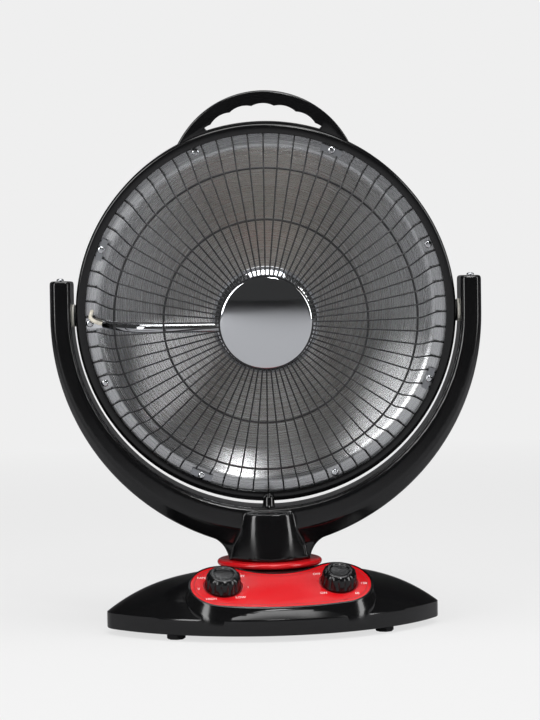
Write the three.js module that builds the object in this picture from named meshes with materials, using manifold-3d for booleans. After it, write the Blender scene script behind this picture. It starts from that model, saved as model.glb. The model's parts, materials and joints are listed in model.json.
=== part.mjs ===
// A parabolic reflector heater on a swivelling, oscillating base.
//
// Millimetres, +Z up. The base's front faces -Y, and +X is to the right seen from the front.
// The origin lies on the floor, under the middle of the whole object.
//
// The most skilful feature is the welded wire guard: radial wires that are bent forward over the
// rim and run over two ring wires to a hub ring, all one welded body.

import * as THREE from 'three';
import { mergeVertices } from 'three/addons/utils/BufferGeometryUtils.js';
import Module from 'manifold-3d';

const wasm = await Module();
wasm.setup();

// ---------------------------------------------------------------------------------------------
// Driving dimensions
// ---------------------------------------------------------------------------------------------

// Clearances.
const GAP = 0.3; // between pieces that seat on each other
const FIT = 0.4; // radial, round a piece in its hole
const RUNNING_GAP = 0.6; // round a piece that turns or slides

// Pose at rest, in degrees.
const REST_SWIVEL = -8; // the head is turned away from the base's front, about +Z
const REST_TILT = 6.5; // the dish leans forward, about +X

// Set-out of the assemblies.
const AXIS_SETBACK = 25; // middle of the base to the swivel axis

// Base shell.
const BASE_HALF_LENGTH = 165;
const BASE_HALF_DEPTH = 93;
const BASE_TIP_RADIUS = 22;
const BASE_WALL = 3;
const BASE_EDGE_HEIGHT = 15.5; // the upright wall below the crown
const BASE_CROWN_RISE = 38.5;
const BASE_CROWN_POWER = 3.3; // how square-shouldered the crown is
const BASE_PLATE_THICKNESS = 2.5;
const POST_RADIUS = 5;
const POST_X = 86;
const POST_Y = 55;

// Feet.
const FOOT_HEIGHT = 5.7;
const FOOT_RADIUS = 9;
const FOOT_STEM_RADIUS = 3.5;
const FOOT_BARB_RADIUS = 4.6;
const FOOT_X = 102;
const FOOT_Y = 47;

// Control panel and the island that carries it.
const PANEL_TILT = 28.5; // degrees from level
const PANEL_Y = -52; // the knobs' line
const PANEL_Z = 50.2;
const KNOB_OFFSET = 56.5; // middle of the panel to each knob
const LOBE_RADIUS = 33.5;
const PANEL_WAIST = 18.7; // knob line up to the concave edge
const PANEL_BELLY = 38.1; // knob line down to the convex edge
const PANEL_LIP = 1.8;
const PANEL_THICKNESS = 1.9;
const PANEL_INSET = 0.3; // the red face below the black lip
const ISLAND_FLARE = 3;
const ISLAND_FLARE_DEPTH = 11;
const ISLAND_ROOF = 3; // thickness under the panel, measured upright

// Knobs, switches and shafts.
const KNOB_RADIUS = 17.7;
const KNOB_TOP_RADIUS = 12.6;
const KNOB_HEIGHT = 15;
const KNOB_FLUTES = 14;
const KNOB_FLUTE_DEPTH = 1;
const KNOB_WELL_DEPTH = 0.9; // the shallow round sink in the panel under each knob
const KNOB_WELL_GAP = 1.5;
const SHAFT_RADIUS = 3;
const SHAFT_RISE = 7.5;
const NECK_RADIUS = 5; // threaded neck of the switch and the timer
const SWITCH_WIDTH = 28;
const SWITCH_DEPTH = 20;
const TIMER_RADIUS = 19;
const TIMER_DEPTH = 23;

// Swivel.
const COLLAR_RADIUS = 52.3;
const COLLAR_HEIGHT = 5.7;
const BUSH_RADIUS = 11;
const BUSH_FLANGE_RADIUS = 24;
const BUSH_LENGTH = 19;
const SPINDLE_RADIUS = 8;
const SPINDLE_BORE = 5;
const SPINDLE_FLANGE_RADIUS = 12;
const SPINDLE_FLANGE_HEIGHT = 5;
const SPINDLE_DEPTH = 14.5; // yoke's inner face down to the spindle's top
const LEVER_THICKNESS = 3;
const LEVER_LENGTH = 43;
const LEVER_WIDTH = 12;
const LEVER_SLOT = 4.8;

// Swing motor and crank.
const MOTOR_RADIUS = 22;
const MOTOR_HEIGHT = 18;
const MOTOR_SETBACK = 55; // middle of the base to the motor's shaft
const MOTOR_SHAFT_RADIUS = 2.5;
const CRANK_RADIUS = 10;
const CRANK_THICKNESS = 4.4;
const CRANK_THROW = 6.5;
const CRANK_PIN_RADIUS = 2;

// Other inner pieces of the base.
const BALLAST_START = 80;
const BALLAST_LENGTH = 61;
const BALLAST_HALF_WIDTH = 34;
const BALLAST_TIP_HALF_WIDTH = 17;
const BALLAST_HEIGHT = 18;
const TERMINAL_LENGTH = 38;
const TERMINAL_WIDTH = 14;
const TERMINAL_HEIGHT = 13;
const TERMINAL_X = 48;
const TERMINAL_Y = 55;
const TIP_SWITCH_X = -48;
const TIP_SWITCH_Y = 55;
const TIP_SWITCH_LENGTH = 26;
const TIP_SWITCH_WIDTH = 14;
const TIP_SWITCH_HEIGHT = 18;
const PLUNGER_RADIUS = 3;
const PLUNGER_LENGTH = 19;
const GLAND_RADIUS = 4.4;
const GLAND_FLANGE_RADIUS = 5.5;
const GLAND_BORE = 3;
const GLAND_HEIGHT = 14.7; // floor to the cord's way in
const GLAND_SEAT = 1; // room for the wall's bend between the flanges

// Yoke.
const YOKE_CLEARANCE = 4.1; // rim to the yoke's inner face
const YOKE_FACE_WIDTH = 17; // inner face out to the flat front's edge, at the arms
const YOKE_BEVEL_WIDTH = 3.9; // that edge out to the outer wall, at the arms
const YOKE_STEM = 52.2; // collar up to the yoke's inner face
const YOKE_BOTTOM_GROWTH = 21.5; // how far the outline drops away at the bottom
const YOKE_FACE_GROWTH = 6;
const YOKE_GROWTH_POWER = 1.6;
const YOKE_HALF_DEPTH = 26.5;
const YOKE_EDGE = 3; // bevel of the inner edge
const YOKE_SHOULDER = 10; // front-to-back run of the outer bevel
const YOKE_ARM_RISE = 34.5; // above the tilt axis
const YOKE_WALL = 3.5;
const NECK_BOTTOM_RADIUS = 40.6;
const NECK_TOP_RADIUS = 27;
const NECK_DEPTH = 5.2; // yoke's inner face down to the neck's top
const WEB_HALF_WIDTH = 70;
const WEB_DEPTH = 18.2; // yoke's inner face down to the web's top
const WEB_TIP = 12; // length of the web's sloping end
const WEB_TIP_DROP = 10.5;
const WEB_SAG = 17; // web's top down to where its curve is aimed
const STOP_RADIUS = 5.5;
const STOP_HEIGHT = 12.5; // above the yoke's inner face
const STOP_Y = -6;

// Pivots.
const PIN_RADIUS = 5.2;
const PIN_BORE = 2.8;
const PIVOT_BLOCK_RADIUS = 7.5;
const PIVOT_BLOCK_LENGTH = 8.4;
const PIVOT_SHOULDER_RADIUS = 11;
const PIVOT_SHOULDER = 1.4;
const PIVOT_BUSH_RADIUS = 9;
const PIVOT_BUSH_FLANGE = 1.8;
const PIVOT_BUSH_FLANGE_RADIUS = 11.5;
const PIVOT_BOSS_RADIUS = 13;
const PIVOT_BOSS_LENGTH = 8;
const NUT_RADIUS = 9;
const NUT_THICKNESS = 4;

// Head rim.
const RIM_RADIUS = 188.4;
const RIM_LAND = 9.9; // outer face in to the opening
const RIM_WALL = 3.5;
const RIM_FRONT = 15; // tilt axis to the front face
const RIM_REAR = 12;
const RIM_LIP = 2;
const RIM_BEVEL = 3;
const LEDGE_REACH = 8.5; // the opening in to the ledge's edge
const LEDGE_DEPTH = 7.3; // front face back to the ledge
const LEDGE_THICKNESS = 3;

// Handle.
const HANDLE_RADIUS = 95; // outside of the arch
const HANDLE_DROP = 63.4; // rim's outer face down to the arch's centre
const HANDLE_GRIP_RADIUS = 80.9;
const HANDLE_SCALLOP = 2.1;
const HANDLE_SCALLOP_PITCH = 15.7; // degrees between finger grips
const HANDLE_DEPTH = 18;
const HANDLE_FRONT = 11;
const HANDLE_BEVEL = 1.2;
const HANDLE_SILL = 1.6; // rim's outer face up to the opening
const HANDLE_OPENING_HALF = 58;

// Reflector.
const DISH_ROOM = 2.6; // ledge's edge in to the dish's bend
const DISH_DEPTH = 70;
const DISH_WALL = 0.8;
const DISH_FLANGE_ROOM = 0.9; // rim's wall in to the dish's flange

// Rear cover.
const COVER_INSET = 1.1; // rim's outer face in to the cover's flange
const COVER_WALL = 2.5;
const COVER_DEPTH = 75;
const COVER_SHOULDER = 0.42; // share of the depth taken by the steep rim of the bowl
const VENT_COUNT = 12;
const VENT_INSET = 49.3; // cover's flange in to the vents' outer ends
const VENT_LENGTH = 46;
const VENT_WIDTH = 5;
const BOSS_RADIUS = 4.6;

// Wire guard.
const WIRE_COUNT = 72;
const WIRE_RADIUS = 1;
const GUARD_EDGE_ROOM = 2.9; // rim's wall in to the outer ring
const GUARD_EDGE_WIRE = 1.5;
const GUARD_BEND_INSET = 8.9; // from the rim's opening
const GUARD_OUTER_INSET = 27.5;
const GUARD_INNER_INSET = 76.5;
const GUARD_OUTER_HEIGHT = 40; // in front of the rim's front face
const GUARD_INNER_HEIGHT = 53;
const GUARD_HUB_HEIGHT = 57;
const RING_WIRE_RADIUS = 1.1;
const WELD_DEPTH = 0.6;
const RING_SETBACK = 3; // a bend of the radial wires to the ring wire inside it
const HUB_RING_INNER = 36;
const HUB_RING_OUTER = 46;
const HUB_RING_THICKNESS = 2.4;

// Centre disc, cup and element.
const DISC_RADIUS = 44.3;
const DISC_CROWN = 4.5;
const DISC_EDGE = 1.4;
const STUD_RADIUS = 4;
const STUD_LENGTH = 14;
const CUP_RADIUS = 51.8;
const CUP_DEPTH = 16;
const CUP_FLAT_RADIUS = 30;
const CUP_WALL = 1.3;
const SOCKET_RADIUS = 20;
const SOCKET_LENGTH = 18;
const CORE_RADIUS = 11;
const CORE_LENGTH = 52;
const COIL_WIRE_RADIUS = 0.9;
const COIL_TURNS = 11;
const COIL_PITCH = 3.8;
const COIL_STEPS = 8; // straight runs in one turn

// Conduit and leads.
const CONDUIT_RADIUS = 4.9;
const CONDUIT_WALL = 1;
const CONDUIT_Z = -6.5; // below the dish's level diameter, between two wires
const CONDUIT_HEIGHT = 42; // in front of the rim's front face
const LUG_THICKNESS = 1.9;
const LUG_HALF_WIDTH = 5;
const LUG_END = 3.8; // screw to the lug's outer end
const LEAD_RADIUS = 1.9;
const CABLE_RADIUS = 2.8;
const LEAD_HOLE_INSET = 2.1; // from the screws' circle
const LEAD_HOLE_Z = 5;
const LEAD_HOLE_RADIUS = 3.4;

// Screws and clips.
const SCREW_COUNT = 8;
const SCREW_INSET = 3.9; // from the rim's opening
const SCREW_HEAD_RADIUS = 3.7;
const SCREW_HEAD_HEIGHT = 2.2;
const SCREW_SHANK_RADIUS = 1.6;
const SCREW_LENGTH = 14;
const LUG_SCREW_LENGTH = 9;
const SCREW_HOLE = 2.1;
const CLIP_WIDTH = 6.4;
const CLIP_ROOM = 1; // to the rim's opening
const CLIP_HALF_ANGLE = 3.6; // degrees
const CLIP_THICKNESS = 1;

// Facets.
const FINE = 32; // round forms as large as the dish
const ROUND = 20; // knobs, collars and bosses
const SMALL = 8; // pins, screws and holes

// ---------------------------------------------------------------------------------------------
// Places worked out from the driving dimensions
// ---------------------------------------------------------------------------------------------

const BASE_BOTTOM = FOOT_HEIGHT + GAP;
const BASE_EDGE = BASE_BOTTOM + BASE_EDGE_HEIGHT;
const BASE_TOP = BASE_EDGE + BASE_CROWN_RISE;
const PLATE_TOP = BASE_BOTTOM + BASE_PLATE_THICKNESS;
const INNER_FLOOR = PLATE_TOP + GAP;
const COLLAR_BOTTOM = BASE_TOP + GAP;
const COLLAR_TOP = COLLAR_BOTTOM + COLLAR_HEIGHT;
const NECK_BOTTOM = COLLAR_TOP + GAP;
const BUSH_BOTTOM = BASE_TOP - BUSH_LENGTH;
const LEVER_TOP = BUSH_BOTTOM - RUNNING_GAP - 1;
const LEVER_BOTTOM = LEVER_TOP - LEVER_THICKNESS;
const YOKE_INNER_RADIUS = RIM_RADIUS + YOKE_CLEARANCE;
const YOKE_FACE_RADIUS = YOKE_INNER_RADIUS + YOKE_FACE_WIDTH;
const YOKE_ARM_RADIUS = YOKE_FACE_RADIUS + YOKE_BEVEL_WIDTH;
const YOKE_BOTTOM = NECK_BOTTOM + YOKE_STEM;
const PIVOT_HEIGHT = YOKE_BOTTOM + YOKE_INNER_RADIUS;
const SPINDLE_TOP = YOKE_BOTTOM - SPINDLE_DEPTH;

const RIM_INSIDE = RIM_RADIUS - RIM_WALL;
const RIM_OPENING = RIM_RADIUS - RIM_LAND;
const LEDGE_RADIUS = RIM_OPENING - LEDGE_REACH;
const DISH_RADIUS = LEDGE_RADIUS - DISH_ROOM;
const DISH_FLANGE_RADIUS = RIM_INSIDE - DISH_FLANGE_ROOM;
const COVER_RADIUS = RIM_RADIUS - COVER_INSET;
const GUARD_EDGE_RADIUS = RIM_INSIDE - GUARD_EDGE_ROOM;
const SCREW_CIRCLE = RIM_OPENING - SCREW_INSET;
const LEAD_HOLE_X = LEAD_HOLE_INSET - SCREW_CIRCLE;
const HANDLE_CENTRE = RIM_RADIUS - HANDLE_DROP;

const FRONT = -RIM_FRONT;
const LIP_BACK = FRONT + RIM_LIP;
const LEDGE_FRONT = FRONT + LEDGE_DEPTH;
const LEDGE_BACK = LEDGE_FRONT + LEDGE_THICKNESS;
const FLANGE_BACK = LEDGE_FRONT - GAP;
const FLANGE_FRONT = FLANGE_BACK - DISH_WALL;
const GUARD_BASE = (FLANGE_FRONT + LIP_BACK) / 2;
const HUB_Y = FRONT - GUARD_HUB_HEIGHT;
const HUB_FRONT = HUB_Y - HUB_RING_THICKNESS / 2;
const HUB_BACK = HUB_Y + HUB_RING_THICKNESS / 2;
const CUP_FRONT = HUB_BACK + GAP + RING_WIRE_RADIUS;
const CUP_INSIDE = CUP_FRONT + CUP_WALL;
const CUP_REAR = CUP_FRONT + CUP_DEPTH;
const SOCKET_FRONT = CUP_INSIDE + GAP;
const SOCKET_BACK = SOCKET_FRONT + SOCKET_LENGTH;
const CONDUIT_Y = FRONT - CONDUIT_HEIGHT;
const CLIP_BACK = GUARD_BASE - WIRE_RADIUS - GAP;
const CLIP_FRONT = CLIP_BACK - CLIP_THICKNESS;
const COVER_FRONT = RIM_REAR + GAP;

const FINISHES = {
  glossBlack: { color: 0x1b1b1e, roughness: 0.22, metalness: 0 },
  satinBlack: { color: 0x202023, roughness: 0.5, metalness: 0 },
  glossRed: { color: 0xd5121c, roughness: 0.25, metalness: 0 },
  chrome: { color: 0xd9dbde, roughness: 0.08, metalness: 1 },
  spunAluminium: { color: 0xc4c6c9, roughness: 0.24, metalness: 1 },
  blackWire: { color: 0x242426, roughness: 0.35, metalness: 0.4 },
  steel: { color: 0x9b9da1, roughness: 0.35, metalness: 1 },
  ceramic: { color: 0xe8e2d4, roughness: 0.7, metalness: 0 },
  heatAlloy: { color: 0x8a7f76, roughness: 0.5, metalness: 1 },
  castIron: { color: 0x4a4a4c, roughness: 0.75, metalness: 0.7 },
  rubber: { color: 0x1a1a1a, roughness: 0.9, metalness: 0 },
  nylon: { color: 0xe9e7df, roughness: 0.55, metalness: 0 },
  glassSleeve: { color: 0xd8d2c2, roughness: 0.8, metalness: 0 },
  blackSleeve: { color: 0x151517, roughness: 0.5, metalness: 0 },
};

// ---------------------------------------------------------------------------------------------
// Solid helpers
// ---------------------------------------------------------------------------------------------

const radians = THREE.MathUtils.degToRad;

/** Six times the volume that the triangles enclose, positive when they face out. */
function signedVolume(points, corners) {
  const a = new THREE.Vector3();
  const b = new THREE.Vector3();
  const c = new THREE.Vector3();
  let total = 0;
  for (let i = 0; i < corners.length; i += 3) {
    a.fromArray(points, corners[i] * 3);
    b.fromArray(points, corners[i + 1] * 3);
    c.fromArray(points, corners[i + 2] * 3);
    total += a.dot(b.cross(c));
  }
  return total;
}

/** A closed geometry as a solid that can be joined and cut, with its faces pointing out. */
function solid(geometry) {
  const bare = geometry.clone();
  bare.deleteAttribute('normal');
  bare.deleteAttribute('uv');
  const welded = mergeVertices(bare, 1e-4);
  const points = welded.attributes.position.array;
  const index = welded.index.array;
  let corners = [];
  for (let i = 0; i < index.length; i += 3) {
    const [p, q, r] = [index[i], index[i + 1], index[i + 2]];
    if (p !== q && q !== r && r !== p) corners.push(p, q, r);
  }
  if (signedVolume(points, corners) < 0) corners = corners.reverse();
  return new wasm.Manifold(new wasm.Mesh({
    numProp: 3,
    vertProperties: new Float32Array(points),
    triVerts: new Uint32Array(corners),
  }));
}

/** A solid as a geometry for a mesh. */
function geometryOf(body) {
  const mesh = body.getMesh();
  const geometry = new THREE.BufferGeometry();
  geometry.setAttribute('position', new THREE.BufferAttribute(Float32Array.from(mesh.vertProperties), 3));
  geometry.setIndex(new THREE.BufferAttribute(Uint32Array.from(mesh.triVerts), 1));
  geometry.computeVertexNormals();
  return geometry;
}

function join(...bodies) {
  return bodies.reduce((whole, body) => whole.add(body));
}

function cut(body, ...tools) {
  return tools.reduce((rest, tool) => rest.subtract(tool), body);
}

/** Triangles that close the flat ring of a loft, facing the way the ring turns. */
function capFaces(ring, offset, reversed) {
  const normal = new THREE.Vector3();
  ring.forEach((p, i) => {
    const q = ring[(i + 1) % ring.length];
    normal.x += (p.y - q.y) * (p.z + q.z);
    normal.y += (p.z - q.z) * (p.x + q.x);
    normal.z += (p.x - q.x) * (p.y + q.y);
  });
  const sizes = normal.toArray().map(Math.abs);
  const axis = sizes.indexOf(Math.max(...sizes));
  const [u, v] = [['y', 'z'], ['z', 'x'], ['x', 'y']][axis];
  const flat = ring.map((p) => new THREE.Vector2(p[u], p[v]));
  const turn = Math.sign(THREE.ShapeUtils.area(flat));
  const faces = [];
  for (const [a, b, c] of THREE.ShapeUtils.triangulateShape(flat, [])) {
    const same = Math.sign(THREE.ShapeUtils.area([flat[a], flat[b], flat[c]])) === turn;
    const [q, r] = same !== reversed ? [b, c] : [c, b];
    faces.push(offset + a, offset + q, offset + r);
  }
  return faces;
}

/** A closed solid through rings of equally many points, capped at both ends. */
function loft(rings) {
  const count = rings[0].length;
  const points = rings.flat();
  const faces = [];
  for (let i = 0; i < rings.length - 1; i += 1) {
    for (let j = 0; j < count; j += 1) {
      const near = i * count + j;
      const nearNext = i * count + ((j + 1) % count);
      faces.push(near, nearNext, nearNext + count, near, nearNext + count, near + count);
    }
  }
  faces.push(...capFaces(rings[0], 0, true));
  faces.push(...capFaces(rings[rings.length - 1], points.length - count, false));
  const geometry = new THREE.BufferGeometry().setFromPoints(points);
  geometry.setIndex(faces);
  return solid(geometry);
}

/** A profile of [radius, height] points turned about the Y axis, the head's own axis. */
function turnedY(profile, segments) {
  const points = profile.map(([r, y]) => new THREE.Vector2(r, y));
  const onAxis = profile[0][0] === 0 && profile[profile.length - 1][0] === 0;
  if (!onAxis) points.push(points[0].clone());
  return solid(new THREE.LatheGeometry(points, segments));
}

/** A profile of [radius, height] points turned about the Z axis. */
function turnedZ(profile, segments) {
  return turnedY(profile, segments).rotate([90, 0, 0]);
}

function block(x0, x1, y0, y1, z0, z1) {
  const box = new THREE.BoxGeometry(x1 - x0, y1 - y0, z1 - z0);
  box.translate((x0 + x1) / 2, (y0 + y1) / 2, (z0 + z1) / 2);
  return solid(box);
}

/** A round bar along X, Y or Z, centred on the other two coordinates of the point given. */
function bar(axis, radius, from, to, centre, segments) {
  const geometry = new THREE.CylinderGeometry(radius, radius, to - from, segments);
  const middle = (from + to) / 2;
  if (axis === 'x') geometry.rotateZ(Math.PI / 2).translate(middle, centre[0], centre[1]);
  if (axis === 'y') geometry.translate(centre[0], middle, centre[1]);
  if (axis === 'z') geometry.rotateX(Math.PI / 2).translate(centre[0], centre[1], middle);
  return solid(geometry);
}

/** A round or ring section run along a smooth path. */
function tube(points, radius, bore, sides, steps) {
  const section = new THREE.Shape().absarc(0, 0, radius, 0, 2 * Math.PI);
  if (bore > 0) section.holes.push(new THREE.Path().absarc(0, 0, bore, 0, 2 * Math.PI));
  const extrudePath = new THREE.CatmullRomCurve3(points, false, 'centripetal');
  const curveSegments = sides / 2;
  const options = { extrudePath, steps, curveSegments, bevelEnabled: false };
  return solid(new THREE.ExtrudeGeometry(section, options));
}

/** Evenly spaced angles from one to another, both included. */
function angles(from, to, steps) {
  return Array.from({ length: steps + 1 }, (_, i) => from + ((to - from) * i) / steps);
}

function onCircle(x, y, radius, angle) {
  return new THREE.Vector2(x + radius * Math.cos(angle), y + radius * Math.sin(angle));
}

function addPart(group, name, body, finish) {
  const material = new THREE.MeshStandardMaterial(FINISHES[finish]);
  const mesh = new THREE.Mesh(geometryOf(body), material);
  mesh.name = name;
  group.add(mesh);
}

/** A group at a place, turned about one axis. */
function frameAt(parent, position, rotation) {
  const group = new THREE.Group();
  group.position.set(...position);
  group.rotation.set(...rotation.map(radians));
  parent.add(group);
  return group;
}

// ---------------------------------------------------------------------------------------------
// Base
// ---------------------------------------------------------------------------------------------

/** The base's plan: two long arcs that run into round tips, drawn in by an inset. */
function basePlan(inset) {
  const tipX = BASE_HALF_LENGTH - BASE_TIP_RADIUS;
  const sideRadius = (tipX ** 2 + BASE_HALF_DEPTH ** 2 - BASE_TIP_RADIUS ** 2)
    / (2 * (BASE_HALF_DEPTH - BASE_TIP_RADIUS));
  const sideCentre = sideRadius - BASE_HALF_DEPTH;
  const meet = Math.atan2(sideCentre, tipX);
  const tip = BASE_TIP_RADIUS - inset;
  const side = sideRadius - inset;
  const arcs = [
    [tipX, 0, tip, angles(-meet, meet, 5)],
    [0, -sideCentre, side, angles(meet, Math.PI - meet, 12).slice(1, -1)],
    [-tipX, 0, tip, angles(Math.PI - meet, Math.PI + meet, 5)],
    [0, sideCentre, side, angles(Math.PI + meet, 2 * Math.PI - meet, 12).slice(1, -1)],
  ];
  return arcs.flatMap(([x, y, radius, turns]) => turns.map((angle) => onCircle(x, y, radius, angle)));
}

function planRing(plan, scale, z) {
  return plan.map((p) => new THREE.Vector3(p.x * scale, p.y * scale, z));
}

/** The crowned form of the base: an upright wall, then a crown that flattens towards the top. */
function crownedForm(inset, bottom, scales) {
  const plan = basePlan(inset);
  const edge = BASE_EDGE - inset / 2;
  const rise = BASE_TOP - inset - edge;
  const crown = scales.map((s) => planRing(plan, s, edge + rise * (1 - s ** BASE_CROWN_POWER)));
  return loft([planRing(plan, 1, bottom), planRing(plan, 1, edge), ...crown]);
}

/** The panel's crescent outline: two round lobes, a convex lower edge and a concave upper one. */
function crescent(offset) {
  const bellyCentre = (KNOB_OFFSET ** 2 - (PANEL_BELLY - LOBE_RADIUS) ** 2)
    / (2 * (PANEL_BELLY - LOBE_RADIUS));
  const waistRadius = (KNOB_OFFSET ** 2 + PANEL_WAIST ** 2 - LOBE_RADIUS ** 2)
    / (2 * (LOBE_RADIUS - PANEL_WAIST));
  const waistCentre = waistRadius + PANEL_WAIST;
  const belly = Math.atan2(KNOB_OFFSET, bellyCentre);
  const waist = Math.atan2(KNOB_OFFSET, waistCentre);
  const down = -Math.PI / 2;
  const up = Math.PI / 2;
  const lobe = LOBE_RADIUS + offset;
  const arcs = [
    [KNOB_OFFSET, 0, lobe, angles(down + belly, up + waist, 9)],
    [0, waistCentre, waistRadius - offset, angles(down + waist, down - waist, 7).slice(1, -1)],
    [-KNOB_OFFSET, 0, lobe, angles(up - waist, 3 * up - belly, 9)],
    [0, bellyCentre, bellyCentre + PANEL_BELLY + offset, angles(down - belly, down + belly, 9).slice(1, -1)],
  ];
  return arcs.flatMap(([x, y, radius, turns]) => turns.map((angle) => onCircle(x, y, radius, angle)));
}

/** A crescent ring in the base's frame, an upright distance below the panel's plane. */
function crescentRing(offset, drop) {
  const tilt = radians(PANEL_TILT);
  return crescent(offset).map((p) => new THREE.Vector3(
    p.x,
    PANEL_Y + p.y * Math.cos(tilt),
    PANEL_Z + p.y * Math.sin(tilt) - drop,
  ));
}

/** The same ring laid level. */
function levelRing(ring, z) {
  return ring.map((p) => new THREE.Vector3(p.x, p.y, z));
}

/** A prism in the panel's own frame, moved to its place on the base. */
function onPanel(body) {
  return body.rotate([PANEL_TILT, 0, 0]).translate([0, PANEL_Y, PANEL_Z]);
}

function crescentPrism(offset, low, high) {
  const outline = crescent(offset);
  return loft([low, high].map((z) => outline.map((p) => new THREE.Vector3(p.x, p.y, z))));
}

const SIDES = [-1, 1];
const POST_PLACES = [[-POST_X, -POST_Y], [POST_X, -POST_Y], [-POST_X, POST_Y], [POST_X, POST_Y]];
const FOOT_PLACES = [[-FOOT_X, -FOOT_Y], [FOOT_X, -FOOT_Y], [-FOOT_X, FOOT_Y], [FOOT_X, FOOT_Y]];
const RECESS_DEPTH = PANEL_INSET + PANEL_THICKNESS + GAP;
const ROOF_DROP = (RECESS_DEPTH + ISLAND_ROOF) / Math.cos(radians(PANEL_TILT));

function baseShell() {
  const flared = crescentRing(ISLAND_FLARE, ISLAND_FLARE_DEPTH);
  const island = loft([crescentRing(0, 0), flared, levelRing(flared, INNER_FLOOR)]);
  const outside = join(crownedForm(0, BASE_BOTTOM, [0.95, 0.87, 0.73, 0.5, 0.22]), island);

  const roof = crescentRing(-BASE_WALL, ROOF_DROP);
  const islandRoom = loft([roof, levelRing(roof, BASE_BOTTOM - 1)]);
  const room = join(crownedForm(BASE_WALL, BASE_BOTTOM - 1, [0.92, 0.76, 0.45]), islandRoom);

  const postTop = BASE_EDGE + 8;
  const posts = POST_PLACES.map((at) => bar('z', POST_RADIUS, INNER_FLOOR, postTop, at, SMALL));
  const bearing = bar('z', BUSH_RADIUS + BASE_WALL, BUSH_BOTTOM, BASE_TOP - 1, [0, AXIS_SETBACK], ROUND);
  const shell = join(cut(outside, room), bearing, ...posts.map((post) => post.intersect(outside)));

  const recess = onPanel(crescentPrism(-PANEL_LIP, -RECESS_DEPTH, LOBE_RADIUS));
  const necks = SIDES.map((side) => onPanel(
    bar('z', NECK_RADIUS + FIT, -2 * ROOF_DROP, 0, [side * KNOB_OFFSET, 0], ROUND),
  ));
  const bore = bar('z', BUSH_RADIUS + FIT, 0, BASE_TOP + 1, [0, AXIS_SETBACK], ROUND);
  const glandHole = bar('y', GLAND_RADIUS + FIT, BASE_HALF_DEPTH / 2, BASE_HALF_DEPTH + 1,
    [0, GLAND_HEIGHT], 16);
  return cut(shell, recess, ...necks, bore, glandHole);
}

function controlPanel() {
  const top = -PANEL_INSET;
  const plate = crescentPrism(-PANEL_LIP - GAP, top - PANEL_THICKNESS, top);
  const wells = SIDES.flatMap((side) => [
    bar('z', KNOB_RADIUS + KNOB_WELL_GAP, top - KNOB_WELL_DEPTH, 1, [side * KNOB_OFFSET, 0], ROUND),
    bar('z', NECK_RADIUS + FIT, -2 * PANEL_THICKNESS, 1, [side * KNOB_OFFSET, 0], 16),
  ]);
  return cut(plate, ...wells);
}

/** A fluted knob with a bevelled crown and a round sink in its top. */
function knob() {
  const flutes = 2 * KNOB_FLUTES;
  const ring = (radius, depth, z) => Array.from({ length: flutes }, (_, i) => {
    const at = onCircle(0, 0, radius - (i % 2) * depth, (i * 2 * Math.PI) / flutes);
    return new THREE.Vector3(at.x, at.y, z);
  });
  const low = KNOB_WELL_GAP / 2 - PANEL_INSET - KNOB_WELL_DEPTH;
  const top = low + KNOB_HEIGHT;
  const body = loft([
    ring(KNOB_RADIUS, 0, low),
    ring(KNOB_RADIUS - 0.3, KNOB_FLUTE_DEPTH, low + 2),
    ring((KNOB_RADIUS + KNOB_TOP_RADIUS) / 2, KNOB_FLUTE_DEPTH / 2, top - 2.2),
    ring(KNOB_TOP_RADIUS, 0, top),
  ]);
  const sink = bar('z', KNOB_TOP_RADIUS * 0.75, top - 0.5, top + 1, [0, 0], ROUND);
  const bore = bar('z', SHAFT_RADIUS + FIT, low - 1, SHAFT_RISE + GAP, [0, 0], SMALL);
  return cut(body, sink, bore);
}

const UNIT_TOP = -RECESS_DEPTH - ISLAND_ROOF - GAP;
const NECK_TOP = -PANEL_INSET - KNOB_WELL_DEPTH - GAP;

/** A switch or timer body under the panel: its case, threaded neck and shaft bore. */
function panelUnit(body, depth) {
  const neck = bar('z', NECK_RADIUS, UNIT_TOP - 1, NECK_TOP, [0, 0], 16);
  const bore = bar('z', SHAFT_RADIUS + RUNNING_GAP, UNIT_TOP - depth + 4, 1, [0, 0], SMALL);
  return cut(join(body, neck), bore);
}

function heatSwitch() {
  const half = SWITCH_WIDTH / 2;
  const low = UNIT_TOP - SWITCH_DEPTH;
  const tab = block(-half / 2, half / 2, -half - 5, -half + 1, low + 4, low + 5.5);
  return panelUnit(join(block(-half, half, -half, half, low, UNIT_TOP), tab), SWITCH_DEPTH);
}

function timerBody() {
  const low = UNIT_TOP - TIMER_DEPTH;
  const drum = bar('z', TIMER_RADIUS, low, UNIT_TOP, [0, 0], ROUND);
  const tab = block(-4, 4, TIMER_RADIUS - 1, TIMER_RADIUS + 5, low + 4, low + 5.5);
  return panelUnit(join(drum, tab), TIMER_DEPTH);
}

function shaft(depth) {
  const round = bar('z', SHAFT_RADIUS, UNIT_TOP - depth + 4 + GAP, SHAFT_RISE, [0, 0], SMALL);
  const flat = block(-SHAFT_RADIUS, SHAFT_RADIUS, SHAFT_RADIUS * 0.6, SHAFT_RADIUS + 1, 0, SHAFT_RISE + 1);
  return cut(round, flat);
}

function basePlate() {
  const plan = basePlan(BASE_WALL + GAP);
  const plate = loft([planRing(plan, 1, BASE_BOTTOM), planRing(plan, 1, PLATE_TOP)]);
  const holes = FOOT_PLACES.map(([x, y]) => bar('z', FOOT_STEM_RADIUS + FIT, 0, INNER_FLOOR, [x, y], SMALL));
  const plungerAt = [TIP_SWITCH_X, TIP_SWITCH_Y];
  const plunger = bar('z', PLUNGER_RADIUS + RUNNING_GAP, 0, INNER_FLOOR, plungerAt, SMALL);
  return cut(plate, ...holes, plunger);
}

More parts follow.
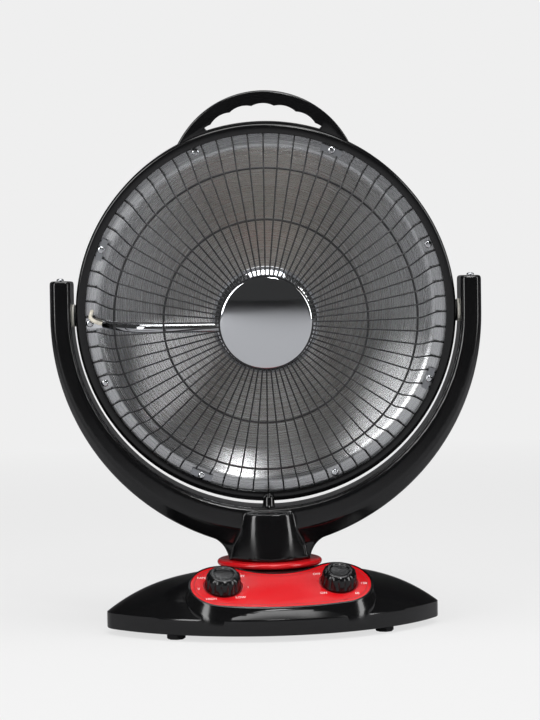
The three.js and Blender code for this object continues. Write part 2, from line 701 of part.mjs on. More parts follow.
/** A rubber foot: a pad, a stem through the plate and a barb above it. */
function foot() {
  const stemTop = INNER_FLOOR;
  return turnedZ([
    [0, 0],
    [FOOT_RADIUS - 1, 0],
    [FOOT_RADIUS, 1],
    [FOOT_RADIUS, FOOT_HEIGHT],
    [FOOT_STEM_RADIUS, FOOT_HEIGHT],
    [FOOT_STEM_RADIUS, stemTop],
    [FOOT_BARB_RADIUS, stemTop],
    [FOOT_STEM_RADIUS / 2, stemTop + 3],
    [0, stemTop + 3],
  ], SMALL);
}

function ballast(side) {
  const ends = [
    [side * BALLAST_START, BALLAST_HALF_WIDTH],
    [side * (BALLAST_START + BALLAST_LENGTH), BALLAST_TIP_HALF_WIDTH],
  ];
  const ring = ([x, half], inset) => [
    new THREE.Vector3(x, -half, INNER_FLOOR),
    new THREE.Vector3(x, half, INNER_FLOOR),
    new THREE.Vector3(x, half - inset, INNER_FLOOR + BALLAST_HEIGHT),
    new THREE.Vector3(x, -half + inset, INNER_FLOOR + BALLAST_HEIGHT),
  ];
  return loft(ends.map((end) => ring(end, 4)));
}

function collarRing() {
  const inner = BUSH_FLANGE_RADIUS + RUNNING_GAP;
  const bulge = COLLAR_HEIGHT / 2;
  const rim = angles(-Math.PI / 2, Math.PI / 2, 4).map((a) => onCircle(COLLAR_RADIUS - bulge, 0, bulge, a));
  const middle = COLLAR_BOTTOM + bulge;
  const profile = rim.map((p) => [p.x, middle + p.y]);
  return turnedZ([[inner, COLLAR_BOTTOM], ...profile, [inner, COLLAR_TOP]], 28);
}

function spindleBush() {
  const inner = SPINDLE_RADIUS + RUNNING_GAP;
  return turnedZ([
    [inner, BUSH_BOTTOM],
    [BUSH_RADIUS, BUSH_BOTTOM],
    [BUSH_RADIUS, COLLAR_BOTTOM],
    [BUSH_FLANGE_RADIUS, COLLAR_BOTTOM],
    [BUSH_FLANGE_RADIUS, COLLAR_TOP],
    [inner, COLLAR_TOP],
  ], ROUND);
}

const CRANK_BOTTOM = INNER_FLOOR + MOTOR_HEIGHT + RUNNING_GAP;

function swingMotor() {
  const can = bar('z', MOTOR_RADIUS, INNER_FLOOR, INNER_FLOOR + MOTOR_HEIGHT, [0, 0], ROUND);
  const ears = block(-MOTOR_RADIUS - 6, MOTOR_RADIUS + 6, -4, 4, INNER_FLOOR, INNER_FLOOR + 1.5);
  const shaftTop = CRANK_BOTTOM + CRANK_THICKNESS - GAP;
  return join(can, ears, bar('z', MOTOR_SHAFT_RADIUS, INNER_FLOOR, shaftTop, [0, 0], SMALL));
}

/** The crank disc with its eccentric pin, which ends below the lever. */
function motorCrank() {
  const disc = bar('z', CRANK_RADIUS, CRANK_BOTTOM, CRANK_BOTTOM + CRANK_THICKNESS, [0, 0], ROUND);
  const pinTop = LEVER_BOTTOM - RUNNING_GAP;
  const pin = bar('z', CRANK_PIN_RADIUS, CRANK_BOTTOM + 1, pinTop, [0, CRANK_THROW], SMALL);
  const bore = bar('z', MOTOR_SHAFT_RADIUS + FIT, 0, CRANK_BOTTOM + CRANK_THICKNESS + 1, [0, 0], SMALL);
  return cut(join(disc, pin), bore);
}

function tipSwitch() {
  const halfX = TIP_SWITCH_LENGTH / 2;
  const halfY = TIP_SWITCH_WIDTH / 2;
  const box = block(-halfX, halfX, -halfY, halfY, INNER_FLOOR, INNER_FLOOR + TIP_SWITCH_HEIGHT);
  return cut(box, bar('z', PLUNGER_RADIUS + RUNNING_GAP, 0, PLUNGER_LENGTH + 1, [0, 0], SMALL));
}

function terminalBlock() {
  const halfX = TERMINAL_LENGTH / 2;
  const halfY = TERMINAL_WIDTH / 2;
  const top = INNER_FLOOR + TERMINAL_HEIGHT;
  const box = block(-halfX, halfX, -halfY, halfY, INNER_FLOOR, top);
  const wells = [-1, 0, 1].map((i) => bar('z', 2.6, top - 5, top + 1, [i * TERMINAL_LENGTH * 0.3, 0], 8));
  return cut(box, ...wells);
}

/** The cord's way in through the rear wall: a flange outside and a collar inside. */
function cordGland() {
  const wallOut = BASE_HALF_DEPTH + GAP;
  const wallIn = BASE_HALF_DEPTH - BASE_WALL - GLAND_SEAT;
  return turnedY([
    [GLAND_BORE, wallIn - 3],
    [GLAND_FLANGE_RADIUS, wallIn - 3],
    [GLAND_FLANGE_RADIUS, wallIn],
    [GLAND_RADIUS, wallIn],
    [GLAND_RADIUS, wallOut],
    [GLAND_FLANGE_RADIUS, wallOut],
    [GLAND_FLANGE_RADIUS - 1, wallOut + 2.5],
    [GLAND_BORE, wallOut + 2.5],
  ], 16);
}

function buildBase(root) {
  addPart(root, 'base_shell', baseShell(), 'glossBlack');
  addPart(root, 'base_plate', basePlate(), 'satinBlack');
  addPart(root, 'collar_ring', collarRing().translate([0, AXIS_SETBACK, 0]), 'glossRed');
  addPart(root, 'spindle_bush', spindleBush().translate([0, AXIS_SETBACK, 0]), 'nylon');
  FOOT_PLACES.forEach(([x, y], i) => addPart(root, `foot_${i + 1}`, foot().translate([x, y, 0]), 'rubber'));
  addPart(root, 'ballast_left', ballast(-1), 'castIron');
  addPart(root, 'ballast_right', ballast(1), 'castIron');
  addPart(root, 'terminal_block', terminalBlock().translate([TERMINAL_X, TERMINAL_Y, 0]), 'nylon');
  addPart(root, 'cord_gland', cordGland().translate([0, 0, GLAND_HEIGHT]), 'satinBlack');
  addPart(root, 'swing_motor', swingMotor().translate([0, MOTOR_SETBACK, 0]), 'steel');
  addPart(root, 'motor_crank', motorCrank().translate([0, MOTOR_SETBACK, 0]), 'nylon');
  addPart(root, 'tip_switch', tipSwitch().translate([TIP_SWITCH_X, TIP_SWITCH_Y, 0]), 'nylon');
  const plunger = bar('z', PLUNGER_RADIUS, 0, PLUNGER_LENGTH, [TIP_SWITCH_X, TIP_SWITCH_Y], SMALL);
  addPart(root, 'tip_plunger', plunger, 'nylon');

  const panel = frameAt(root, [0, PANEL_Y, PANEL_Z], [PANEL_TILT, 0, 0]);
  addPart(panel, 'control_panel', controlPanel(), 'glossRed');
  const left = frameAt(panel, [-KNOB_OFFSET, 0, 0], [0, 0, 0]);
  addPart(left, 'heat_switch', heatSwitch(), 'nylon');
  addPart(left, 'heat_shaft', shaft(SWITCH_DEPTH), 'steel');
  addPart(left, 'heat_knob', knob(), 'glossBlack');
  const right = frameAt(panel, [KNOB_OFFSET, 0, 0], [0, 0, 0]);
  addPart(right, 'timer_body', timerBody(), 'nylon');
  addPart(right, 'timer_shaft', shaft(TIMER_DEPTH), 'steel');
  addPart(right, 'timer_knob', knob(), 'glossBlack');
}

// ---------------------------------------------------------------------------------------------
// Yoke, in a frame on the swivel axis with z = 0 at the floor
// ---------------------------------------------------------------------------------------------

/** Outer radius of the yoke at an angle below level, in degrees, for the wall or its flat face. */
function yokeRadius(arm, growth, degreesDown) {
  return arm + growth * (degreesDown / 90) ** YOKE_GROWTH_POWER;
}

/** A run of stations along the yoke: down one arm, round the bottom and up the other. */
function yokeStations(rise, steps) {
  const ends = (turn) => [{ turn, lift: rise }, { turn, lift: rise - YOKE_EDGE }];
  const bend = angles(0, 180, steps).map((turn) => ({ turn, lift: 0 }));
  return [...ends(0), ...bend, ...ends(180).reverse()];
}

/** Places a [radius, depth] section at a station of the yoke. */
function yokeRing(station, section) {
  const turn = radians(station.turn);
  return section.map(([r, y]) => new THREE.Vector3(
    -r * Math.cos(turn),
    y,
    PIVOT_HEIGHT + station.lift - r * Math.sin(turn),
  ));
}

function yokeBow() {
  const depth = YOKE_HALF_DEPTH;
  const stations = yokeStations(YOKE_ARM_RISE, 24);
  const rings = stations.map((station, i) => {
    const down = Math.min(station.turn, 180 - station.turn);
    const end = i === 0 || i === stations.length - 1;
    const inset = end ? 2 : 0;
    const face = yokeRadius(YOKE_FACE_RADIUS, YOKE_FACE_GROWTH, down) - inset;
    const wall = yokeRadius(YOKE_ARM_RADIUS, YOKE_BOTTOM_GROWTH, down) - inset;
    const inner = YOKE_INNER_RADIUS + inset;
    return yokeRing(station, [
      [inner, -depth + YOKE_EDGE],
      [inner + YOKE_EDGE, -depth + inset],
      [face, -depth + inset],
      [wall, -depth + YOKE_SHOULDER],
      [wall, depth - YOKE_SHOULDER],
      [face, depth - inset],
      [inner + YOKE_EDGE, depth - inset],
      [inner, depth - YOKE_EDGE],
    ]);
  });
  return loft(rings);
}

/** The hollow inside the bow, which carries the cable up to the pivots. */
function yokeHollow() {
  const inner = YOKE_INNER_RADIUS + YOKE_WALL;
  const outer = YOKE_ARM_RADIUS - YOKE_WALL - 2;
  const depth = YOKE_HALF_DEPTH - YOKE_WALL;
  const section = [[inner, -depth], [outer, -depth], [outer, depth], [inner, depth]];
  return loft(yokeStations(YOKE_ARM_RISE - YOKE_WALL, 16).map((station) => yokeRing(station, section)));
}

/** The set-back web that blends the bow into the neck on both sides. */
function yokeWeb() {
  const top = YOKE_BOTTOM - WEB_DEPTH;
  const tip = WEB_HALF_WIDTH - WEB_TIP;
  const half = NECK_BOTTOM_RADIUS;
  const shape = new THREE.Shape();
  shape.moveTo(-WEB_HALF_WIDTH, top);
  shape.lineTo(-tip, top - WEB_TIP_DROP);
  shape.quadraticCurveTo(-half - 2, top - WEB_SAG, -half + 0.4, NECK_BOTTOM);
  shape.lineTo(half - 0.4, NECK_BOTTOM);
  shape.quadraticCurveTo(half + 2, top - WEB_SAG, tip, top - WEB_TIP_DROP);
  shape.lineTo(WEB_HALF_WIDTH, top);
  const depth = 2 * (YOKE_HALF_DEPTH - YOKE_SHOULDER);
  const web = new THREE.ExtrudeGeometry(shape, { depth, curveSegments: 6, bevelEnabled: false });
  return solid(web.rotateX(Math.PI / 2).translate(0, depth / 2, 0));
}

/** The whole yoke, before it is parted into its two half shells. */
function yokeWhole() {
  const neckTop = YOKE_BOTTOM - NECK_DEPTH;
  const neck = turnedZ([
    [0, NECK_BOTTOM],
    [NECK_BOTTOM_RADIUS - 0.8, NECK_BOTTOM],
    [NECK_BOTTOM_RADIUS, NECK_BOTTOM + 1.5],
    [NECK_TOP_RADIUS, neckTop],
    [0, neckTop],
  ], 32);
  const bossFrom = YOKE_INNER_RADIUS;
  const bossTo = bossFrom + PIVOT_BOSS_LENGTH;
  const bosses = SIDES.map((side) => bar(
    'x',
    PIVOT_BOSS_RADIUS,
    Math.min(side * bossFrom, side * bossTo),
    Math.max(side * bossFrom, side * bossTo),
    [0, PIVOT_HEIGHT],
    16,
  ));
  const pocket = bar('z', SPINDLE_FLANGE_RADIUS + FIT, SPINDLE_TOP - SPINDLE_FLANGE_HEIGHT - GAP,
    SPINDLE_TOP + GAP, [0, 0], ROUND);
  const bore = bar('z', SPINDLE_RADIUS + FIT, 0, SPINDLE_TOP, [0, 0], ROUND);
  const cableWay = bar('z', SPINDLE_BORE, SPINDLE_TOP, YOKE_BOTTOM - YOKE_WALL - 1, [0, 0], SMALL);
  const pivotBore = bar('x', PIVOT_BUSH_RADIUS + FIT, -bossTo - 1, bossTo + 1, [0, PIVOT_HEIGHT], 16);
  const seat = bar('x', PIVOT_BUSH_FLANGE_RADIUS + FIT, -bossFrom, bossFrom, [0, PIVOT_HEIGHT], 16);
  const screwHoles = SIDES.map((side) => armScrewBar(side, SCREW_HOLE, 0));
  const body = cut(join(yokeBow(), neck, yokeWeb()), yokeHollow());
  return cut(join(body, ...bosses), pocket, bore, cableWay, pivotBore, seat, ...screwHoles);
}

const ARM_SCREW_Y = -13;
const ARM_TOP = PIVOT_HEIGHT + YOKE_ARM_RISE;
const ARM_MIDDLE = (YOKE_INNER_RADIUS + YOKE_ARM_RADIUS) / 2;

function armScrewBar(side, radius, clearance) {
  const low = ARM_TOP - 2 * YOKE_WALL;
  return bar('z', radius, low, ARM_TOP + 1 + clearance, [side * ARM_MIDDLE, ARM_SCREW_Y], SMALL);
}

function armScrew(side) {
  const headLow = ARM_TOP + GAP;
  const head = turnedZ([
    [0, headLow],
    [SCREW_HEAD_RADIUS, headLow],
    [SCREW_HEAD_RADIUS, headLow + 1],
    [SCREW_HEAD_RADIUS * 0.6, headLow + SCREW_HEAD_HEIGHT],
    [0, headLow + SCREW_HEAD_HEIGHT],
  ], SMALL);
  return join(head.translate([side * ARM_MIDDLE, ARM_SCREW_Y, 0]), armScrewBar(side, SCREW_SHANK_RADIUS, 0));
}

/** The peg on the bow's bottom that the rim rests against at the upper end of its tilt. */
function tiltStop() {
  const top = YOKE_BOTTOM + STOP_HEIGHT;
  const post = bar('z', STOP_RADIUS, YOKE_BOTTOM - 1, top - STOP_RADIUS, [0, STOP_Y], 12);
  const ball = solid(new THREE.SphereGeometry(STOP_RADIUS, 12, 8).rotateX(Math.PI / 2));
  return join(post, ball.translate([0, STOP_Y, top - STOP_RADIUS]));
}

function swivelSpindle() {
  const top = SPINDLE_TOP;
  const low = LEVER_BOTTOM;
  return turnedZ([
    [SPINDLE_BORE, low],
    [SPINDLE_RADIUS, low],
    [SPINDLE_RADIUS, top - SPINDLE_FLANGE_HEIGHT],
    [SPINDLE_FLANGE_RADIUS, top - SPINDLE_FLANGE_HEIGHT],
    [SPINDLE_FLANGE_RADIUS, top],
    [SPINDLE_BORE, top],
  ], ROUND);
}

/** The slotted arm on the spindle that the crank swings. */
function swingLever() {
  const hub = bar('z', SPINDLE_RADIUS + 5, LEVER_BOTTOM, LEVER_TOP, [0, 0], ROUND);
  const half = LEVER_WIDTH / 2;
  const arm = block(-half, half, 0, LEVER_LENGTH, LEVER_BOTTOM, LEVER_TOP);
  const bore = bar('z', SPINDLE_RADIUS + FIT, LEVER_BOTTOM - 1, LEVER_TOP + 1, [0, 0], ROUND);
  const slotFrom = MOTOR_SETBACK - AXIS_SETBACK - CRANK_THROW - LEVER_SLOT;
  const slotHalf = LEVER_SLOT / 2;
  const slot = block(-slotHalf, slotHalf, slotFrom, LEVER_LENGTH - 2.5, LEVER_BOTTOM - 1, LEVER_TOP + 1);
  return cut(join(hub, arm), bore, slot);
}

/** The cable from the spindle, through the neck and up the left arm to the pivot. */
function yokeCable() {
  const rise = YOKE_INNER_RADIUS + YOKE_WALL + CABLE_RADIUS + FIT;
  const low = LEVER_BOTTOM + 4;
  const straight = [low, (low + YOKE_BOTTOM) / 2, YOKE_BOTTOM - 13].map((z) => new THREE.Vector3(0, 0, z));
  straight.push(new THREE.Vector3(-5, 0, YOKE_BOTTOM - 9.5));
  const bend = angles(82, 6, 9).map((turn) => yokeRing({ turn, lift: 0 }, [[rise, 0]])[0]);
  return tube([...straight, ...bend], CABLE_RADIUS, 0, 6, 22);
}

function pivotBush(side) {
  const flangeFrom = RIM_RADIUS + PIVOT_SHOULDER + RUNNING_GAP;
  const sleeveTo = YOKE_INNER_RADIUS + PIVOT_BOSS_LENGTH;
  const bush = turnedY([
    [PIN_RADIUS + RUNNING_GAP, flangeFrom],
    [PIVOT_BUSH_FLANGE_RADIUS, flangeFrom],
    [PIVOT_BUSH_FLANGE_RADIUS, flangeFrom + PIVOT_BUSH_FLANGE],
    [PIVOT_BUSH_RADIUS, flangeFrom + PIVOT_BUSH_FLANGE],
    [PIVOT_BUSH_RADIUS, sleeveTo],
    [PIN_RADIUS + RUNNING_GAP, sleeveTo],
  ], 16);
  return bush.rotate([0, 0, side * -90]).translate([0, 0, PIVOT_HEIGHT]);
}

function buildYoke(group) {
  const whole = yokeWhole();
  const span = 2 * YOKE_ARM_RADIUS;
  const frontSpace = block(-span, span, -span, -GAP / 2, 0, 2 * PIVOT_HEIGHT);
  const rearSpace = block(-span, span, GAP / 2, span, 0, 2 * PIVOT_HEIGHT);
  const front = join(whole.intersect(frontSpace), tiltStop().intersect(frontSpace));
  addPart(group, 'yoke_front', front, 'glossBlack');
  addPart(group, 'yoke_rear', whole.intersect(rearSpace), 'glossBlack');
  addPart(group, 'swivel_spindle', swivelSpindle(), 'steel');
  addPart(group, 'swing_lever', swingLever(), 'steel');
  addPart(group, 'yoke_cable', yokeCable(), 'blackSleeve');
  for (const [word, side] of [['left', -1], ['right', 1]]) {
    addPart(group, `pivot_bush_${word}`, pivotBush(side), 'nylon');
    addPart(group, `arm_screw_${word}`, armScrew(side), 'steel');
  }
}

// ---------------------------------------------------------------------------------------------
// Head, in a frame on the tilt axis: the dish's axis is Y and it faces -Y
// ---------------------------------------------------------------------------------------------

/** The handle's arch on the rim, with its opening under a row of finger grips. */
function handle() {
  const foot = RIM_RADIUS - RIM_WALL / 2;
  const footZ = (foot ** 2 + HANDLE_CENTRE ** 2 - HANDLE_RADIUS ** 2) / (2 * HANDLE_CENTRE);
  const archEnd = Math.asin((footZ - HANDLE_CENTRE) / HANDLE_RADIUS);
  const footTurn = Math.asin(footZ / foot);
  const outline = [
    ...angles(archEnd, Math.PI - archEnd, 22).map((a) => onCircle(0, HANDLE_CENTRE, HANDLE_RADIUS, a)),
    ...angles(Math.PI - footTurn, footTurn, 12).slice(1, -1).map((a) => onCircle(0, 0, foot, a)),
  ];
  const sill = RIM_RADIUS + HANDLE_SILL;
  const sillEnd = Math.acos(HANDLE_OPENING_HALF / sill);
  const gripEnd = Math.asin(HANDLE_OPENING_HALF / (HANDLE_GRIP_RADIUS + HANDLE_SCALLOP));
  const grip = angles(-gripEnd, gripEnd, 28).map((a) => {
    const wave = Math.abs(Math.cos((Math.PI * a) / radians(HANDLE_SCALLOP_PITCH)));
    return onCircle(0, HANDLE_CENTRE, HANDLE_GRIP_RADIUS + HANDLE_SCALLOP * wave, Math.PI / 2 - a);
  });
  const sillTurns = angles(sillEnd, Math.PI - sillEnd, 10).slice(1, -1);
  const opening = [...grip, ...sillTurns.map((a) => onCircle(0, 0, sill, a))];
  const shape = new THREE.Shape(outline);
  shape.holes.push(new THREE.Path(opening));
  const arch = new THREE.ExtrudeGeometry(shape, {
    depth: HANDLE_DEPTH - 2 * HANDLE_BEVEL,
    bevelEnabled: true,
    bevelSize: HANDLE_BEVEL,
    bevelOffset: -HANDLE_BEVEL,
    bevelThickness: HANDLE_BEVEL,
    bevelSegments: 1,
  });
  return solid(arch.rotateX(Math.PI / 2).translate(0, HANDLE_DEPTH - HANDLE_FRONT - HANDLE_BEVEL, 0));
}

function screwAngles() {
  return Array.from({ length: SCREW_COUNT }, (_, i) => ((i + 0.5) * 360) / SCREW_COUNT);
}

/** Round holes on the screw circle and at the conduit's lug. */
function screwHoles(radius, from, to) {
  const places = screwAngles().map((turn) => onCircle(0, 0, SCREW_CIRCLE, radians(turn)));
  places.push(new THREE.Vector2(-SCREW_CIRCLE, CONDUIT_Z));
  return places.map((p) => bar('y', radius, from, to, [p.x, p.y], 8));
}

function leadHole(from, to) {
  return bar('y', LEAD_HOLE_RADIUS, from, to, [LEAD_HOLE_X, LEAD_HOLE_Z], SMALL);
}

function headRim() {
  const innerWall = RIM_INSIDE;
  const ring = turnedY([
    [RIM_OPENING, FRONT + 1],
    [RIM_OPENING + 1, FRONT],
    [RIM_RADIUS - RIM_BEVEL, FRONT],
    [RIM_RADIUS, FRONT + RIM_BEVEL],
    [RIM_RADIUS, RIM_REAR],
    [innerWall, RIM_REAR],
    [innerWall, LEDGE_BACK],
    [LEDGE_RADIUS, LEDGE_BACK],
    [LEDGE_RADIUS, LEDGE_FRONT],
    [innerWall, LEDGE_FRONT],
    [innerWall, LIP_BACK],
    [RIM_OPENING, LIP_BACK],
  ], 48);
  const blockEnd = RIM_RADIUS - PIVOT_BLOCK_LENGTH;
  const shoulderEnd = RIM_RADIUS + PIVOT_SHOULDER;
  const sides = [[blockEnd, shoulderEnd], [-shoulderEnd, -blockEnd]];
  const blocks = sides.map(([from, to]) => bar('x', PIVOT_BLOCK_RADIUS, from, to, [0, 0], 16));
  const shoulders = [[innerWall, shoulderEnd], [-shoulderEnd, -innerWall]]
    .map(([from, to]) => bar('x', PIVOT_SHOULDER_RADIUS, from, to, [0, 0], 16));
  const pinWay = bar('x', PIN_RADIUS + FIT, -shoulderEnd - 1, shoulderEnd + 1, [0, 0], 12);
  const solidRim = join(ring, handle(), ...blocks, ...shoulders);
  const holes = screwHoles(SCREW_HOLE, LEDGE_FRONT - 1, LEDGE_BACK + 1);
  return cut(solidRim, pinWay, leadHole(LEDGE_FRONT - 1, LEDGE_BACK + 3), ...holes);
}

const DISH_STEPS = [127.4, 91.4, 59.4, 29.4, 0]; // edge in to each ring of facets

/** Depth of the dish's reflecting face at a radius, on a true parabola. */
function dishY(radius, offset) {
  return FLANGE_BACK + offset + DISH_DEPTH * (1 - (radius / DISH_RADIUS) ** 2);
}

function reflector() {
  const radii = [0, ...DISH_STEPS.map((step) => DISH_RADIUS - step)];
  const front = radii.map((r) => [r, dishY(r, -DISH_WALL)]);
  const back = radii.map((r) => [r, dishY(r, 0)]).reverse();
  const flange = [[DISH_FLANGE_RADIUS, FLANGE_FRONT], [DISH_FLANGE_RADIUS, FLANGE_BACK]];
  const dish = turnedY([...front, ...flange, ...back], FINE);
  const holes = screwHoles(SCREW_HOLE, FLANGE_FRONT - 1, FLANGE_BACK + 1);
  return cut(dish, leadHole(FLANGE_FRONT - 1, FLANGE_BACK + 1), ...holes);
}

/** The vented cover behind the dish, with bosses that reach forward to the rim's ledge. */
function rearCover() {
  const bowl = (inset) => {
    const depth = COVER_DEPTH - inset;
    const seat = COVER_FRONT + COVER_WALL;
    const radius = RIM_INSIDE - GAP - inset;
    return [
      [radius, seat],
      [radius * 0.88, seat + depth * COVER_SHOULDER],
      [radius * 0.7, seat + depth * 0.74],
      [radius * 0.46, seat + depth * 0.92],
      [radius * 0.2, seat + depth],
      [0, seat + depth],
    ];
  };
  const outer = bowl(0);
  const inner = bowl(COVER_WALL);
  const shell = turnedY([
    ...outer.reverse(),
    [COVER_RADIUS, COVER_FRONT + COVER_WALL],
    [COVER_RADIUS, COVER_FRONT],
    [inner[0][0], COVER_FRONT],
    ...inner,
  ], FINE);
  const ventEnd = COVER_RADIUS - VENT_INSET;
  const vents = Array.from({ length: VENT_COUNT }, (_, i) => {
    const half = VENT_WIDTH / 2;
    const slot = block(ventEnd - VENT_LENGTH, ventEnd, 0, 2 * COVER_DEPTH, -half, half);
    return slot.rotate([0, ((i + 0.5) * 360) / VENT_COUNT, 0]);
  });
  const bossReach = SCREW_CIRCLE + BOSS_RADIUS + 1;
  const room = [...bowl(COVER_WALL / 2), [0, LEDGE_BACK], [bossReach, LEDGE_BACK]];
  const envelope = turnedY(room.reverse(), FINE);
  const bossFrom = LEDGE_BACK + GAP;
  const bosses = screwAngles().map((turn) => {
    const at = onCircle(0, 0, SCREW_CIRCLE, radians(turn));
    return bar('y', BOSS_RADIUS, bossFrom, COVER_DEPTH, [at.x, at.y], 8).intersect(envelope);
  });
  const pilots = screwAngles().map((turn) => {
    const at = onCircle(0, 0, SCREW_CIRCLE, radians(turn));
    return bar('y', SCREW_HOLE, bossFrom - 1, bossFrom - 1 + SCREW_LENGTH, [at.x, at.y], 8);
  });
  return cut(join(cut(shell, ...vents), ...bosses), ...pilots);
}

/** The middle line of a guard wire as [radius, depth]: under the rim, forward, then a low dome. */
function guardLine() {
  const outer = FRONT - GUARD_OUTER_HEIGHT;
  const inner = FRONT - GUARD_INNER_HEIGHT;
  return [
    [GUARD_EDGE_RADIUS, GUARD_BASE],
    [RIM_OPENING - GUARD_BEND_INSET, GUARD_BASE],
    [RIM_OPENING - GUARD_OUTER_INSET, outer],
    [RIM_OPENING - GUARD_INNER_INSET, inner],
    [HUB_RING_OUTER - 2, HUB_Y],
  ];
}

/** A point of the guard's line, moved behind it by a distance. */
function behindLine(line, i, distance) {
  const before = line[Math.max(i - 1, 0)];
  const after = line[Math.min(i + 1, line.length - 1)];
  const along = new THREE.Vector2(after[0] - before[0], after[1] - before[1]).normalize();
  return [line[i][0] + along.y * distance, line[i][1] - along.x * distance];
}

/** One radial wire of triangular section, sharp behind, before it is turned to its place. */
function guardWire() {
  const line = guardLine();
  const corners = [Math.PI / 2, (7 * Math.PI) / 6, (11 * Math.PI) / 6];
  return loft(line.map((_, i) => corners.map((turn) => {
    const [r, y] = behindLine(line, i, WIRE_RADIUS * Math.sin(turn));
    return new THREE.Vector3(r, y, WIRE_RADIUS * Math.cos(turn));
  })));
}

/** A ring wire just inside a bend of the radial wires, with its sharp side sunk into their backs. */
function ringWire(line, i) {
  const bend = new THREE.Vector2(...line[i]);
  const along = new THREE.Vector2(...line[i + 1]).sub(bend).normalize();
  const behind = new THREE.Vector2(along.y, -along.x);
  const depth = WIRE_RADIUS - WELD_DEPTH + RING_WIRE_RADIUS;
  const centre = bend.addScaledVector(along, RING_SETBACK).addScaledVector(behind, depth);
  const facing = behind.angle() + Math.PI;
  const section = angles(facing, facing + 2 * Math.PI, 3).slice(0, -1)
    .map((turn) => onCircle(centre.x, centre.y, RING_WIRE_RADIUS, turn));
  return turnedY(section.map((p) => [p.x, p.y]), WIRE_COUNT / 2).rotate([0, 180 / WIRE_COUNT, 0]);
}

/** A flat ring of square section round the head's axis. */
function flatRing(inner, outer, front, back) {
  const ring = turnedY([[inner, front], [outer, front], [outer, back], [inner, back]], WIRE_COUNT / 2);
  return ring.rotate([0, 180 / WIRE_COUNT, 0]);
}

function wireGuard() {
  const step = 360 / WIRE_COUNT;
  const wire = guardWire();
  const wires = Array.from({ length: WIRE_COUNT }, (_, i) => wire.rotate([0, i * step, 0]));
  const rings = [2, 3].map((i) => ringWire(guardLine(), i));
  const edge = GUARD_EDGE_WIRE;
  const edgeInner = GUARD_EDGE_RADIUS - edge;
  const rim = flatRing(edgeInner, GUARD_EDGE_RADIUS + edge, GUARD_BASE - edge, GUARD_BASE + edge);
  const hub = flatRing(HUB_RING_INNER, HUB_RING_OUTER, HUB_FRONT, HUB_BACK);
  return wasm.Manifold.union([...wires, ...rings, rim, hub]);
}

/** The polished disc in front of the guard, with the stud that clamps the guard to the cup. */
function centreDisc() {
  const back = HUB_FRONT - GAP;
  const edge = back - DISC_EDGE;
  const crown = [0.35, 0.7, 0.93].map((share) => [
    DISC_RADIUS * share,
    edge - DISC_CROWN * (1 - share ** 2),
  ]);
  return turnedY([
    [0, edge - DISC_CROWN],
    ...crown,
    [DISC_RADIUS, edge],
    [DISC_RADIUS, back],
    [STUD_RADIUS, back],
    [STUD_RADIUS, back + STUD_LENGTH],
    [0, back + STUD_LENGTH],
  ], 28);
}

function frontCup() {
  const bowl = [0.35, 0.75, 1].map((share) => [
    CUP_FLAT_RADIUS + (CUP_RADIUS - CUP_FLAT_RADIUS) * Math.sqrt(1 - (1 - share) ** 2) * 0.97,
    CUP_FRONT + CUP_DEPTH * share,
  ]);
  const lip = CUP_REAR;
  const outside = [
    [STUD_RADIUS + FIT, CUP_FRONT],
    [CUP_FLAT_RADIUS, CUP_FRONT],
    ...bowl,
    [CUP_RADIUS, lip + 0.4],
  ];
  const inside = [
    [CUP_RADIUS - 0.3, lip + CUP_WALL],
    ...[...bowl].reverse().map(([r, y]) => [r - CUP_WALL, y + CUP_WALL * 0.5]),
    [CUP_FLAT_RADIUS - 1, CUP_INSIDE],
    [STUD_RADIUS + FIT, CUP_INSIDE],
  ];
  const conduitWay = bar('x', CONDUIT_RADIUS + RUNNING_GAP, -2 * CUP_RADIUS, -CUP_FLAT_RADIUS,
    [CONDUIT_Y, CONDUIT_Z], 12);
  return cut(turnedY([...outside, ...inside], 24), conduitWay);
}

function elementCore() {
  const body = turnedY([
    [0, SOCKET_FRONT],
    [SOCKET_RADIUS, SOCKET_FRONT],
    [SOCKET_RADIUS, SOCKET_BACK - 2],
    [SOCKET_RADIUS - 2, SOCKET_BACK],
    [CORE_RADIUS, SOCKET_BACK],
    [CORE_RADIUS, SOCKET_BACK + CORE_LENGTH - 2],
    [CORE_RADIUS - 2, SOCKET_BACK + CORE_LENGTH],
    [0, SOCKET_BACK + CORE_LENGTH],
  ], 20);
  const studEnd = HUB_FRONT + STUD_LENGTH + GAP;
  return cut(body, bar('y', STUD_RADIUS + RUNNING_GAP, HUB_FRONT, studEnd, [0, 0], 12));
}

/** The points of the coil's helix, with a short straight run at both ends. */
function coilPoints() {
  const radius = (CORE_RADIUS + GAP + COIL_WIRE_RADIUS) / Math.cos(Math.PI / COIL_STEPS);
  const steps = COIL_STEPS;
  const start = SOCKET_BACK + (CORE_LENGTH - COIL_TURNS * COIL_PITCH) / 2;
  const turns = Array.from({ length: COIL_TURNS * steps + 1 }, (_, i) => {
    const turn = (i * 2 * Math.PI) / steps;
    const along = start + (COIL_PITCH * i) / steps;
    return new THREE.Vector3(radius * Math.cos(turn), along, radius * Math.sin(turn));
  });
  const straight = 2 * COIL_WIRE_RADIUS;
  const head = turns[0].clone().add(new THREE.Vector3(0, 0, -straight));
  const tail = turns[turns.length - 1].clone().add(new THREE.Vector3(0, 0, straight));
  return [head, ...turns, tail];
}

/** The least gap between one turn of a wound wire and the next, measured on its points. */
function leastGap(points, stepsApart, wireRadius) {
  let least = Infinity;
  points.forEach((p, i) => {
    for (let j = i + stepsApart; j < points.length; j += 1) least = Math.min(least, p.distanceTo(points[j]));
  });
  return least - 2 * wireRadius;
}

